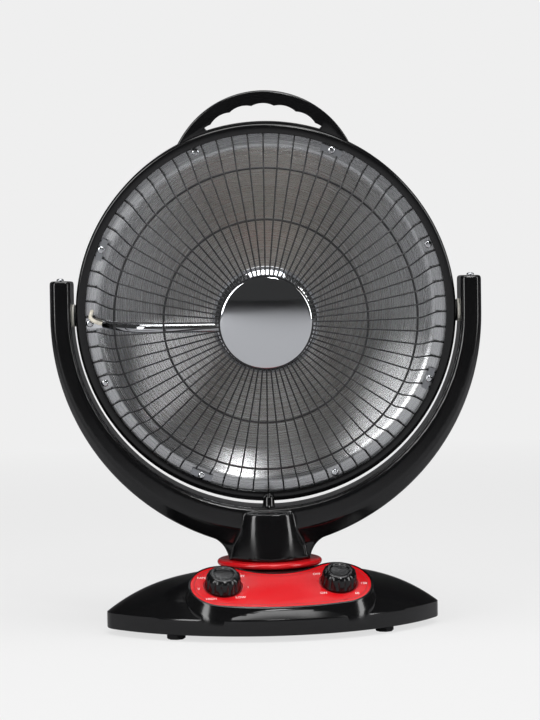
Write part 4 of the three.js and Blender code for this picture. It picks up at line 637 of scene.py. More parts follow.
def look_of(node: str, mesh: bmesh.types.BMesh, place: Matrix, slot: Slot, body: str,
            sharp: float = 32.0) -> Piece:
    """The piece that is shown in place of one CAD node.

    Args:
        node: The CAD node.
        mesh: The piece's mesh, in millimetres.
        place: From the mesh's own frame to the frame.
        slot: The record's material slot.
        body: The body that it rides on.
        sharp: The least angle of a sharp edge, in degrees.

    Returns:
        The piece, not yet built.
    """
    return Piece(f"{node}_look", mesh, place, slot, body, (node,), sharp=sharp)


@dataclass
class Screw:
    """A pan-head screw with a cross recess. Its axis is Y, its head to -Y and its underside at 0."""

    length: float
    head: float = 3.7
    height: float = 2.2
    shank: float = 1.6
    # The head's profile, in shares of its radius and height.
    crown: tuple[tuple[float, float], ...] = (
        (0, 1), (0.45, 0.98), (0.72, 0.86), (0.92, 0.6), (1, 0.28), (1, 0))

    def place(self, node: str, where: Matrix, slot: Slot, body: str) -> None:
        """Build the screw at a place.

        Args:
            node: The CAD node that it stands for.
            where: From the screw's own frame to the frame.
            slot: The record's material slot.
            body: The body that it rides on.
        """
        h, r = self.height, self.head
        crown = [(r * a, -h * b) for a, b in self.crown]
        profile = crown + [(self.shank, 0), (self.shank, self.length), (0, self.length)]
        piece = look_of(node, turned(profile, Axis.Y, 32), where, slot, body, 40)
        thing = piece.solid()
        half, long = r * 0.13, r * 0.58
        quarter = [(long, half), (half, half), (half, long)]
        cross = []
        for _ in range(4):
            cross += quarter
            quarter = [(-y, x) for x, y in quarter]
        tool = moved(slab(cross, -0.5, h * 0.55), Matrix.Rotation(math.radians(90), 4, "X"))
        moved(tool, Matrix.Translation((0, -h, 0)))
        carved(thing, Carve.CUT, [(tool, where)])
        piece.build(thing)


# ---------------------------------------------------------------------------------------------
# Base
# ---------------------------------------------------------------------------------------------


@dataclass
class Base:
    """The crowned base with the raised island that carries the control panel."""

    half_length: float = 165.0
    half_depth: float = 93.0
    tip: float = 22.0
    bottom: float = 6.0
    edge: float = 21.5
    rise: float = 38.5
    power: float = 3.3
    wall: float = 3.0
    lobe: float = 33.5
    waist: float = 18.7
    belly: float = 38.1
    lip: float = 1.8
    lip_drop: float = 0.9
    flare: float = 3.0
    flare_depth: float = 11.0
    island_foot: float = 12.0
    island_roof: float = 6.26
    sink_depth: float = 2.45
    collar: float = 52.3
    collar_bore: float = 24.6
    collar_height: float = 5.7
    bush: float = 11.0
    bearing_depth: float = 19.0
    gland: float = 4.8
    gland_height: float = 14.7
    neck: float = 5.4
    top: float = field(init=False)

    def __post_init__(self) -> None:
        """Work out the base's height."""
        self.top = self.edge + self.rise

    def plan(self, inset: float) -> Outline:
        """The boat-shaped plan: two long arcs that run into round tips.

        Args:
            inset: How far it is drawn in all round.

        Returns:
            The outline, anticlockwise.
        """
        x = self.half_length - self.tip
        side = (x * x + self.half_depth ** 2 - self.tip ** 2) / (2 * (self.half_depth - self.tip))
        y = side - self.half_depth
        meet = math.atan2(y, x)
        return (arc(x, 0, self.tip - inset, -meet, meet, 16)
                + arc(0, -y, side - inset, meet, math.pi - meet, 56)[1:-1]
                + arc(-x, 0, self.tip - inset, math.pi - meet, math.pi + meet, 16)
                + arc(0, y, side - inset, math.pi + meet, TAU - meet, 56)[1:-1])

    def crown(self) -> bmesh.types.BMesh:
        """The upright wall and the crown, closed below."""
        def ring(inset: float, scale: float, z: float) -> list[Vector]:
            return [Vector((x * scale, y * scale, z)) for x, y in self.plan(inset)]

        low = self.bottom
        rings = [ring(1.2, 1, low), ring(0.35, 1, low + 0.35), ring(0, 1, low + 1.2),
                 ring(0, 1, self.edge - 1.4)]
        for turn in spread(0.02, 1.0, 26):
            scale = math.cos(turn * math.pi / 2 * 0.92)
            rings.append(ring(0, scale, self.edge + self.rise * (1 - scale ** self.power)))
        return lofted(rings)

    def crescent(self, offset: float) -> Outline:
        """The panel's outline: two round lobes, a convex lower edge and a concave upper one.

        Args:
            offset: How far it is let out all round.

        Returns:
            The outline, anticlockwise.
        """
        half = STAND.knob_offset
        low_c = (half ** 2 - (self.belly - self.lobe) ** 2) / (2 * (self.belly - self.lobe))
        up_r = (half ** 2 + self.waist ** 2 - self.lobe ** 2) / (2 * (self.lobe - self.waist))
        up_c = up_r + self.waist
        low, up = math.atan2(half, low_c), math.atan2(half, up_c)
        quarter = math.pi / 2
        lobe = self.lobe + offset
        return (arc(half, 0, lobe, -quarter + low, quarter + up, 36)
                + arc(0, up_c, up_r - offset, -quarter + up, -quarter - up, 24)[1:-1]
                + arc(-half, 0, lobe, quarter - up, 3 * quarter - low, 36)
                + arc(0, low_c, low_c + self.belly + offset, -quarter - low, -quarter + low, 36)[1:-1])

    def under_panel(self, offset: float, drop: float) -> list[Vector]:
        """The panel's outline on the slope, let out by an offset and dropped straight down."""
        tilt = math.radians(STAND.panel_tilt)
        back, up = math.cos(tilt), math.sin(tilt)
        return [Vector((x, STAND.panel_y + y * back, STAND.panel_z + y * up - drop))
                for x, y in self.crescent(offset)]

    def island(self) -> bmesh.types.BMesh:
        """The raised block under the panel: a rounded lip, a flare and an upright skirt."""
        lip = self.lip_drop
        rings = [self.under_panel(*ring) for ring in ((-0.9, 0), (-0.3, 0.2), (0, lip))]
        rings += [self.under_panel(self.flare * (t ** 1.4), lip + (self.flare_depth - lip) * t)
                  for t in spread(0.1, 1, 8)]
        return lofted(rings + [[Vector((p.x, p.y, self.island_foot)) for p in rings[-1]]])

    def shell(self) -> None:
        """The shell: crown and island in one, open below, with the panel's sink cut into it."""
        place = STAND.base()
        swivel = place @ Matrix.Translation((0, STAND.axis_setback, 0))
        look = look_of("base_shell", self.crown(), place, Slot.GLOSS_BLACK, "base", 40)
        thing = look.solid()
        carved(thing, Carve.JOIN, [(self.island(), place)])
        sink = slab(self.crescent(-self.lip), -self.sink_depth, 45)
        rooms = [(self.room(), place), (self.island_room(), place)]
        carved(thing, Carve.CUT, [(sink, STAND.panel()), *rooms])
        bearing = slab(circle(self.bush + self.wall, 48), self.top - self.bearing_depth, self.top - 1)
        carved(thing, Carve.JOIN, [(bearing, swivel)])
        bore = slab(circle(self.bush + 0.4, 48), self.top - self.bearing_depth - 1, self.top + 1)
        cord = moved(slab(circle(self.gland, 32), 0, 20), Matrix.Rotation(math.radians(-90), 4, "X"))
        moved(cord, Matrix.Translation((0, self.half_depth - 10, self.gland_height)))
        necks = [(self.neck_hole(), STAND.knob(side)) for side in (-1, 1)]
        carved(thing, Carve.CUT, [(bore, swivel), (cord, place), *necks])
        look.build(thing)

    def room(self) -> bmesh.types.BMesh:
        """The room inside the crown, open below."""
        low, high = self.edge - 1.5, self.top - self.wall
        rings = [[Vector((x, y, z)) for x, y in self.plan(self.wall)] for z in (self.bottom - 2, low)]
        for turn in spread(0.05, 1.0, 16):
            scale = math.cos(turn * math.pi / 2 * 0.9)
            rings.append([Vector((x * scale, y * scale, low + (high - low) * (1 - scale ** self.power)))
                          for x, y in self.plan(self.wall)])
        return lofted(rings)

    def island_room(self) -> bmesh.types.BMesh:
        """The room under the panel, where the switch and the timer hang."""
        roof = self.under_panel(-self.wall, self.island_roof)
        return lofted([roof, [Vector((p.x, p.y, self.bottom - 2)) for p in roof]])

    def neck_hole(self) -> bmesh.types.BMesh:
        """The hole that a switch's threaded neck passes through, on a knob's axis."""
        return slab(circle(self.neck, 32), -14, 3)

    def collar_ring(self) -> None:
        """The red ring that the neck turns on."""
        low = self.top + SEAT
        high = low + self.collar_height
        half = (high - low) / 2
        rim = arc(self.collar - half, low + half, half, -math.pi / 2, math.pi / 2, 16)
        profile = [(self.collar_bore, low), *rim, (self.collar_bore, high), (self.collar_bore, low)]
        place = STAND.base() @ Matrix.Translation((0, STAND.axis_setback, 0))
        look_of("collar_ring", turned(profile, Axis.Z), place, Slot.GLOSS_RED, "base").build()

    def build(self) -> None:
        """Build the shell and the collar."""
        self.shell()
        self.collar_ring()


@dataclass
class Panel:
    """The red panel with its sunk line, knob wells and printed words."""

    base: Base
    inset: float = SEAT
    thickness: float = 1.9
    edge_bevel: float = 0.25
    well: float = 19.2
    well_depth: float = 0.9
    line_offset: float = -5.2
    line_width: float = 0.7
    letter: float = 4.3
    word_reach: float = 24.2
    # What is printed round each knob, and where, in degrees clockwise from the top.
    words: tuple[tuple[tuple[str, float], ...], ...] = (
        (("OFF", 52), ("I", 98), ("LOW", 142), ("HIGH", 214), ("II", 262), ("FAN", 306)),
        (("OFF", 306), ("ON", 226), ("60", 142), ("120", 98)))

    def face(self) -> None:
        """The panel's plate, with a well and a hole for each knob."""
        top = -self.inset
        outline = self.base.crescent(-self.base.lip - SEAT)
        plate = slab(outline, top - self.thickness, top, self.edge_bevel)
        look = look_of("control_panel", plate, STAND.panel(), Slot.GLOSS_RED, "base", 30)
        thing = look.solid()
        cuts = []
        for side in (-1, 1):
            well = slab(circle(self.well, 72), top - self.well_depth, 2)
            cuts += [(well, STAND.knob(side)), (self.base.neck_hole(), STAND.knob(side))]
        carved(thing, Carve.CUT, cuts)
        look.build(thing)

    def sunk_line(self) -> None:
        """The thin line that runs round the panel just inside its edge, darker red as painted shade of
        its groove.
        """
        low, high = -self.inset - 0.1, -self.inset + 0.03
        outer = self.base.crescent(self.line_offset)
        inner = self.base.crescent(self.line_offset - self.line_width)
        rings = [[Vector((x, y, z)) for x, y in line]
                 for line, z in ((outer, low), (outer, high), (inner, high), (inner, low), (outer, low))]
        bm = lofted(rings, capped=False)
        bmesh.ops.remove_doubles(bm, verts=bm.verts, dist=1e-4)
        bmesh.ops.recalc_face_normals(bm, faces=bm.faces)
        # Darker red: painted shade of the sunk groove.
        Piece("panel_line", bm, STAND.panel(), Slot.GLOSS_RED, "base", finish=SHADED_RED).build()

    def well_floor(self, side: int, name: str) -> None:
        """The dull ring under a knob, darker red as painted shade in the well.

        Args:
            side: -1 for the left knob and 1 for the right.
            name: The piece's name.
        """
        low = -self.inset - self.well_depth - 0.05
        high, bore, edge = low + 0.12, self.base.neck + 0.6, self.well - 0.05
        ring = turned([(bore, low), (edge, low), (edge, high), (bore, high), (bore, low)], Axis.Z, 72)
        # Darker red: painted shade in the well under the knob.
        Piece(name, ring, STAND.knob(side), Slot.GLOSS_RED, "base", finish=SHADED_RED).build()

    def word(self, text: str, side: int, turn: float, name: str) -> None:
        """Print a generic word beside a knob.

        Args:
            text: What it says.
            side: -1 for the left knob and 1 for the right.
            turn: Where it stands round the knob, in degrees clockwise from the top.
            name: The piece's name.
        """
        curve = bpy.data.curves.new(name, "FONT")
        curve.body = text
        curve.size = self.letter
        curve.align_x = "CENTER"
        curve.align_y = "CENTER"
        curve.extrude = 0.03
        source = bpy.data.objects.new(name, curve)
        bpy.context.scene.collection.objects.link(source)
        bpy.context.view_layer.update()
        flat = evaluated(source)
        bpy.data.objects.remove(source)
        bm = bmesh.new()
        bm.from_mesh(flat)
        bpy.data.meshes.remove(flat)
        angle = math.radians(turn)
        x, y = self.word_reach * math.sin(angle), self.word_reach * math.cos(angle)
        at = Matrix.Translation((x, y, -self.inset + 0.02))
        Piece(name, bm, STAND.knob(side) @ at, Slot.GLOSS_RED, "base", finish=INK).build()

    def build(self) -> None:
        """Build the plate, its line, the wells and the words."""
        self.face()
        self.sunk_line()
        sides = ((-1, "left"), (1, "right"))
        for side, where in sides:
            self.well_floor(side, f"well_floor_{where}")
        for (side, where), marks in zip(sides, self.words):
            for k, (text, turn) in enumerate(marks):
                self.word(text, side, turn, f"print_{where}_{k + 1}")


@dataclass
class Knob:
    """A fluted knob with a bevelled crown and a round sink in its top."""

    side: int
    body: str
    radius: float = 17.7
    top_radius: float = 12.6
    height: float = 15.0
    flutes: int = 14
    flute_depth: float = 1.3
    low: float = -0.45

    def section(self, radius: float, depth: float, z: float) -> list[Vector]:
        """A ring with the flutes as rounded valleys.

        Args:
            radius: The ring's largest radius.
            depth: How deep the flutes are.
            z: The ring's height.

        Returns:
            Its points.
        """
        count = self.flutes * 12
        ring = []
        for k in range(count):
            turn = TAU * k / count
            wave = abs(math.sin(self.flutes * turn / 2))
            r = radius - depth * (1 - wave) ** 1.6
            ring.append(Vector((r * math.cos(turn), r * math.sin(turn), z)))
        return ring

    def build(self) -> None:
        """Build the knob on its shaft."""
        top = self.low + self.height
        deep = self.flute_depth
        shoulder = (self.radius + self.top_radius) / 2
        wide, crown, low = self.radius, self.top_radius, self.low
        rings = [self.section(radius, depth, z) for radius, depth, z in (
            (wide - 0.5, 0, low), (wide, 0, low + 0.6),
            (wide, deep * 0.2, low + 1.8), (wide - 0.2, deep, low + 3),
            (wide - 1.0, deep, top - 5.4), (shoulder + 0.9, deep * 0.75, top - 2.9),
            (shoulder - 0.6, deep * 0.3, top - 1.5), (crown + 0.6, 0, top - 0.5),
            (crown - 0.2, 0, top - 0.05), (crown - 1.2, 0, top),
            (crown - 2.6, 0, top), (crown - 3.0, 0, top - 0.25),
            (crown - 3.4, 0, top - 0.8), (crown - 4.2, 0, top - 0.95))]
        look_of(self.body, lofted(rings), STAND.knob(self.side), Slot.GLOSS_BLACK, self.body, 50).build()


# ---------------------------------------------------------------------------------------------
# Yoke
# ---------------------------------------------------------------------------------------------


@dataclass
class Yoke:
    """The bow that carries the head, blended into its neck and parted into two half shells."""

    inner: float = 192.5
    arm: float = 213.4
    face: float = 209.5
    growth: float = 21.5
    face_growth: float = 6.0
    power: float = 1.6
    half_depth: float = 26.5
    inner_edge: float = 3.0
    shoulder: float = 10.0
    arm_rise: float = 34.5
    neck_low: float = 66.3
    neck_radius: float = 40.6
    neck_top_half: float = 27.5
    neck_top_depth: float = 35.5
    neck_height: float = 47.0
    neck_power: float = 1.2
    web_half: float = 70.0
    web_rise: float = 34.0
    web_tip: float = 12.0
    web_tip_drop: float = 10.5
    web_sag: float = 17.0
    voxel: float = 1.3
    blending: int = 4
    seam: float = 0.15
    stop_radius: float = 5.5
    stop_height: float = 12.5
    stop_y: float = -6.0
    screw_y: float = -13.0
    # How the bow's ends are rounded: the drop from the top and the inset that goes with it.
    end: tuple[tuple[float, float], ...] = ((0, 2.4), (0.4, 1.2), (1.2, 0.35), (2.6, 0))

    def section(self, turn: float, lift: float, inset: float) -> list[Vector]:
        """The bow's rounded section at a station.

        Args:
            turn: Degrees from level at the left arm.
            lift: How far the station stands above its place on the circle.
            inset: How far the section is drawn in all round.

        Returns:
            The section's points.
        """
        down = min(turn, 180 - turn) / 90
        face = self.face + self.face_growth * down ** self.power - inset
        wall = self.arm + self.growth * down ** self.power - inset
        inner = self.inner + inset
        d, e, s = self.half_depth, self.inner_edge, self.shoulder
        corners = [(inner, 0), (inner, -d + e), (inner + e, -d + inset), (face, -d + inset),
                   (wall, -d + s), (wall, d - s), (face, d - inset), (inner + e, d - inset),
                   (inner, d - e), (inner, 0)]
        smooth = eased(corners, 2.2)[:-1]
        a = math.radians(turn)
        level = STAND.pivot_height + lift
        return [Vector((-r * math.cos(a), y, level - r * math.sin(a))) for r, y in smooth]

    def bow(self) -> bmesh.types.BMesh:
        """The bow from one arm's top to the other's."""
        rise = self.arm_rise
        left = [self.section(0, rise - drop, inset) for drop, inset in self.end]
        left += [self.section(0, rise * t, 0) for t in (0.75, 0.5, 0.25)]
        round_way = [self.section(turn, 0, 0) for turn in spread(0, 180, 120)]
        right = [self.section(180, rise * t, 0) for t in (0.25, 0.5, 0.75)]
        right += [self.section(180, rise - drop, inset) for drop, inset in reversed(self.end)]
        return lofted(left + round_way + right)

    def neck(self) -> bmesh.types.BMesh:
        """The neck that stands on the collar: round below, and squarer towards its flat top."""
        foot = self.neck_radius

        def ring(rise: float, inset: float, drop: float) -> list[Vector]:
            wide = foot + (self.neck_top_half - foot) * rise - inset
            deep = foot + (self.neck_top_depth - foot) * rise - inset
            power = 2 / (2 + self.neck_power * rise)
            turns = [(math.cos(t), math.sin(t)) for t in spread(0, TAU, 120)[:-1]]
            z = self.neck_low + self.neck_height * rise + drop
            return [Vector((math.copysign(abs(c) ** power, c) * wide,
                            math.copysign(abs(s) ** power, s) * deep, z)) for c, s in turns]

        rings = [ring(0, 1, 0), ring(0, 0.2, 0.5), ring(0, 0, 1.8)]
        rings += [ring(t, 0, 0) for t in spread(0.1, 0.97, 14)]
        return lofted(rings + [ring(1, 0.2, -0.7), ring(1, 0.7, -0.2), ring(1, 1.6, 0)])

    def web(self) -> bmesh.types.BMesh:
        """The set-back web that spreads from the neck to the bow on both sides."""
        top = self.neck_low + self.web_rise
        half = self.neck_radius
        tip = Vector((self.web_half - self.web_tip, top - self.web_tip_drop))
        middle, root = Vector((half + 2, top - self.web_sag)), Vector((half - 0.4, self.neck_low))
        curve = []
        for t in spread(0, 1, 16):
            p = tip * (1 - t) ** 2 + middle * 2 * t * (1 - t) + root * t ** 2
            curve.append((p.x, p.y))
        outline = [(self.web_half, top)] + curve
        outline += [(-x, z) for x, z in reversed(outline)]
        depth = self.half_depth - self.shoulder
        plate = slab(outline, -depth, depth)
        return moved(plate, Matrix.Rotation(math.radians(90), 4, "X"))

    def blended(self) -> bpy.types.Mesh:
        """The bow, neck and web in one skin, with soft hollows where they meet."""
        blank = placed("blank", gathered([self.bow(), self.neck(), self.web()]), STAND.yoke())
        remesh = blank.modifiers.new("blend", "REMESH")
        remesh.mode = "VOXEL"
        remesh.voxel_size = self.voxel * MM
        soften = blank.modifiers.new("soften", "SMOOTH")
        soften.factor = 0.5
        soften.iterations = self.blending
        whole = evaluated(blank)
        bpy.data.objects.remove(blank)
        return whole

    def half(self, whole: bpy.types.Mesh, side: int) -> bmesh.types.BMesh:
        """One half shell, closed at the seam.

        Args:
            whole: The blended skin, in the frame.
            side: -1 for the front half and 1 for the rear.

        Returns:
            A closed mesh in the yoke's own frame.
        """
        bm = bmesh.new()
        bm.from_mesh(whole)
        moved(bm, STAND.yoke().inverted())
        bmesh.ops.bisect_plane(bm, geom=bm.verts[:] + bm.edges[:] + bm.faces[:],
                               plane_co=(0, self.seam * side, 0), plane_no=(0, -side, 0),
                               clear_outer=True)
        bmesh.ops.holes_fill(bm, edges=[e for e in bm.edges if e.is_boundary])
        bmesh.ops.recalc_face_normals(bm, faces=bm.faces)
        return bm

    def build(self) -> None:
        """Blend the bow, neck and web, part them at the seam, and seat the arm screws."""
        whole = self.blended()
        front = gathered([self.half(whole, -1), self.stop()])
        look_of("yoke_front", front, STAND.yoke(), Slot.GLOSS_BLACK, "yoke", 45).build()
        rear = gathered([self.half(whole, 1)])
        look_of("yoke_rear", rear, STAND.yoke(), Slot.GLOSS_BLACK, "yoke", 45).build()
        bpy.data.meshes.remove(whole)
        top = STAND.pivot_height + self.arm_rise + SEAT
        for where, side in (("left", -1), ("right", 1)):
            at = Matrix.Translation((side * (self.inner + self.arm) / 2, self.screw_y, top))
            turn = Matrix.Rotation(math.radians(-90), 4, "X")
            Screw(5).place(f"arm_screw_{where}", STAND.yoke() @ at @ turn, Slot.STEEL, "yoke")

    def stop(self) -> bmesh.types.BMesh:
        """The round-ended peg that stops the head's tilt."""
        floor = STAND.pivot_height - self.inner
        low, high = floor - 1, floor + self.stop_height
        r = self.stop_radius
        dome = arc(0, high - r, r, 0, math.pi / 2, 10)
        peg = turned([(0, low), (r + 2, low), (r + 0.6, low + 2), *dome[:-1], (0, high)], Axis.Z, 32)
        return moved(peg, Matrix.Translation((0, self.stop_y, 0)))


# ---------------------------------------------------------------------------------------------
# Head
# ---------------------------------------------------------------------------------------------


@dataclass
class Rim:
    """The moulded ring round the dish, with its carrying handle."""

    radius: float = 188.4
    opening: float = 178.5
    wall: float = 3.5
    front: float = -15.0
    rear: float = 12.0
    lip: float = 2.0
    ledge: float = 170.0
    ledge_depth: float = 7.3
    ledge_thickness: float = 3.0
    handle_front: float = 11.0
    handle_rear: float = -7.0
    handle_rounding: float = 1.6
    handle_centre: float = 125.0
    handle_radius: float = 95.0
    grip_radius: float = 80.9
    scallop: float = 2.1
    scallop_pitch: float = 15.7
    opening_half: float = 58.0
    sill: float = 1.6
    # A pivot's shoulder, as a profile round the pivot's axis.
    shoulder: tuple[tuple[float, float], ...] = (
        (5.6, 186), (10.4, 186), (11, 188.6), (10.6, 189.8), (5.6, 189.8), (5.6, 186))

    def ring(self) -> bmesh.types.BMesh:
        """The ring with its lip, its ledge and its rounded outer edge."""
        f, inner, lip = self.front, self.radius - self.wall, self.front + self.lip
        ledge = f + self.ledge_depth
        back = ledge + self.ledge_thickness
        bend = arc(self.radius - 3, f + 3, 3, -math.pi / 2, 0, 8)
        profile = [(self.opening, f + 1.2), (self.opening + 0.35, f + 0.35), (self.opening + 1.2, f),
                   *bend, (self.radius, self.rear - 0.5), (self.radius - 0.5, self.rear),
                   (inner, self.rear), (inner, back), (self.ledge, back), (self.ledge, ledge),
                   (inner, ledge), (inner, lip), (self.opening, lip), (self.opening, f + 1.2)]
        return turned(profile, Axis.Y, 192)

    def handle(self) -> bmesh.types.BMesh:
        """The arch with its opening and its row of finger grips."""
        foot = self.radius - self.wall / 2
        c, big = self.handle_centre, self.handle_radius
        foot_z = (foot ** 2 + c ** 2 - big ** 2) / (2 * c)
        start, low = math.asin((foot_z - c) / big), math.asin(foot_z / foot)
        outer = arc(0, c, big, start, math.pi - start, 96)
        outer += arc(0, 0, foot, math.pi - low, low, 48)[1:-1]
        sill = self.radius + self.sill
        end = math.asin(self.opening_half / (self.grip_radius + self.scallop))
        grip = []
        for a in spread(-end, end, 150):
            wave = abs(math.cos(math.pi * a / math.radians(self.scallop_pitch)))
            r = self.grip_radius + self.scallop * wave ** 0.8
            grip.append((r * math.sin(a), c + r * math.cos(a)))
        sill_end = math.acos(self.opening_half / sill)
        hole = grip + arc(0, 0, sill, sill_end, math.pi - sill_end, 48)[1:-1]
        flat = Matrix.Identity(4)
        plate = slab(outer, self.handle_rear, self.handle_front, self.handle_rounding)
        arch = placed("arch", plate, flat)
        carved(arch, Carve.CUT, [(slab(hole, -20, 20), flat)])
        bm = bmesh.new()
        bm.from_mesh(arch.data)
        bpy.data.objects.remove(arch)
        return moved(bm, Matrix.Rotation(math.radians(90), 4, "X"))

    def pivots(self) -> list[bmesh.types.BMesh]:
        """The round shoulders that the pivot pins pass through."""
        parts = []
        for side in (-1, 1):
            shoulder = turned(list(self.shoulder), Axis.Y, 48)
            parts.append(moved(shoulder, Matrix.Rotation(math.radians(-90 * side), 4, "Z")))
        return parts

    def build(self) -> None:
        """Build the rim as one moulding."""
        whole = gathered([self.ring(), self.handle(), *self.pivots()])
        look_of("head_rim", whole, STAND.head(), Slot.GLOSS_BLACK, "head", 35).build()


@dataclass
class Dish:
    """The reflector and the vented cover behind it."""

    rim: Rim
    radius: float = 167.4
    depth: float = 70.0
    sheet: float = 0.8
    flange: float = 184.0
    flange_front: float = -8.8
    flange_bend: float = 1.2
    cover_radius: float = 187.3
    cover_seat: float = 14.8
    cover_depth: float = 75.0
    cover_wall: float = 2.5
    vents: int = 12
    vent_inner: float = 94.5
    vent_outer: float = 135.5
    vent_half: float = 2.5
    # The cover's bowl, in shares of its radius and depth.
    bowl: tuple[tuple[float, float], ...] = (
        (1, 0), (0.985, 0.07), (0.96, 0.18), (0.93, 0.3), (0.88, 0.42), (0.8, 0.59), (0.7, 0.735),
        (0.58, 0.85), (0.46, 0.918), (0.33, 0.963), (0.2, 0.99), (0.1, 1), (0, 1))

    def reflector(self) -> None:
        """The parabolic sheet with its flat flange."""
        f = self.flange_front
        radii = spread(0, self.radius, 40)

        def deep(r: float) -> float:
            return f + self.depth * (1 - (r / self.radius) ** 2)

        face = [(r, deep(r)) for r in radii]
        back = [(r, deep(r) + self.sheet) for r in reversed(radii)]
        bend = self.radius + self.flange_bend
        flange = [(bend, f), (self.flange, f), (self.flange, f + self.sheet), (bend, f + self.sheet)]
        sheet = turned(face + flange + back, Axis.Y, 192)
        look_of("reflector", sheet, STAND.head(), Slot.SPUN, "head", 50).build()

    def cover(self) -> None:
        """The bowl of the rear cover with its ring of vents."""
        seat, depth, wall = self.cover_seat, self.cover_depth, self.cover_wall
        radius = self.rim.radius - self.rim.wall - SEAT
        outer = [(radius * a, seat + depth * b) for a, b in self.bowl]
        inner = [((radius - wall) * a, seat + (depth - wall) * b) for a, b in self.bowl]
        lip = self.cover_radius
        edge = [(lip - 0.4, seat), (lip, seat - 0.4), (lip, seat - wall + 0.4), (lip - 0.4, seat - wall),
                (radius - wall, seat - wall)]
        cover = turned(outer[::-1] + edge + inner, Axis.Y, 160)
        look = look_of("rear_cover", cover, STAND.head(), Slot.SATIN_BLACK, "head", 35)
        thing = look.solid()
        quarter = math.pi / 2
        ends = arc(self.vent_inner, 0, self.vent_half, quarter, 3 * quarter, 8)
        ends += arc(self.vent_outer, 0, self.vent_half, -quarter, quarter, 8)
        tools = []
        for k in range(self.vents):
            slot = moved(slab(ends, 0, 150), Matrix.Rotation(math.radians(-90), 4, "X"))
            tools.append(moved(slot, Matrix.Rotation((k + 0.5) * TAU / self.vents, 4, "Y")))
        carved(thing, Carve.CUT, [(gathered(tools), STAND.head())])
        look.build(thing)

    def build(self) -> None:
        """Build the reflector and the cover."""
        self.reflector()
        self.cover()


@dataclass
class Guard:
    """The welded wire guard: radial wires, two ring wires, an outer ring and a hub ring."""

    wires: int = 72
    wire: float = 0.8
    edge: float = 182.0
    bend: float = 169.6
    outer: float = 151.0
    inner: float = 102.0
    base: float = -10.9
    outer_y: float = -55.0
    inner_y: float = -68.0
    hub_y: float = -72.0
    hub_inner: float = 36.0
    hub_outer: float = 46.0
    hub_half: float = 1.2
    edge_wire: float = 1.5
    ring_wire: float = 1.1
    # Where the two ring wires lie, from the bends of the radial wires.
    outer_weld: tuple[float, float] = (-3.342, 0.849)
    inner_weld: tuple[float, float] = (-3.0, 1.5)

    def line(self) -> list[Vector]:
        """One wire's middle line, with its bends eased."""
        points = [(self.edge, self.base), (self.bend, self.base), (self.outer, self.outer_y),
                  (self.inner, self.inner_y), (self.hub_outer - 1.5, self.hub_y)]
        return [Vector((r, y, 0)) for r, y in eased(points, 7, 4)]

    def ring(self, radius: float, y: float, wire: float) -> bmesh.types.BMesh:
        """A ring wire.

        Args:
            radius: The ring's radius, to the wire's middle.
            y: Its place along the dish's axis.
            wire: The wire's radius.

        Returns:
            A closed ring.
        """
        section = arc(radius, y, wire, 0, TAU, 10)
        section[-1] = section[0]
        return turned(section, Axis.Y, 180)

    def build(self) -> None:
        """Weld the wires into one guard."""
        parts = []
        for k in range(self.wires):
            wire = swept(self.line(), self.wire, 8)
            parts.append(moved(wire, Matrix.Rotation(k * TAU / self.wires, 4, "Y")))
        (out, out_y), (into, into_y) = self.outer_weld, self.inner_weld
        parts.append(self.ring(self.edge, self.base, self.edge_wire))
        parts.append(self.ring(self.outer + out, self.outer_y + out_y, self.ring_wire))
        parts.append(self.ring(self.inner + into, self.inner_y + into_y, self.ring_wire))
        front, back = self.hub_y - self.hub_half, self.hub_y + self.hub_half
        parts.append(turned([(self.hub_inner, front), (self.hub_outer, front), (self.hub_outer, back),
                             (self.hub_inner, back), (self.hub_inner, front)], Axis.Y, 144))
        look_of("wire_guard", gathered(parts), STAND.head(), Slot.WIRE, "head", 50).build()


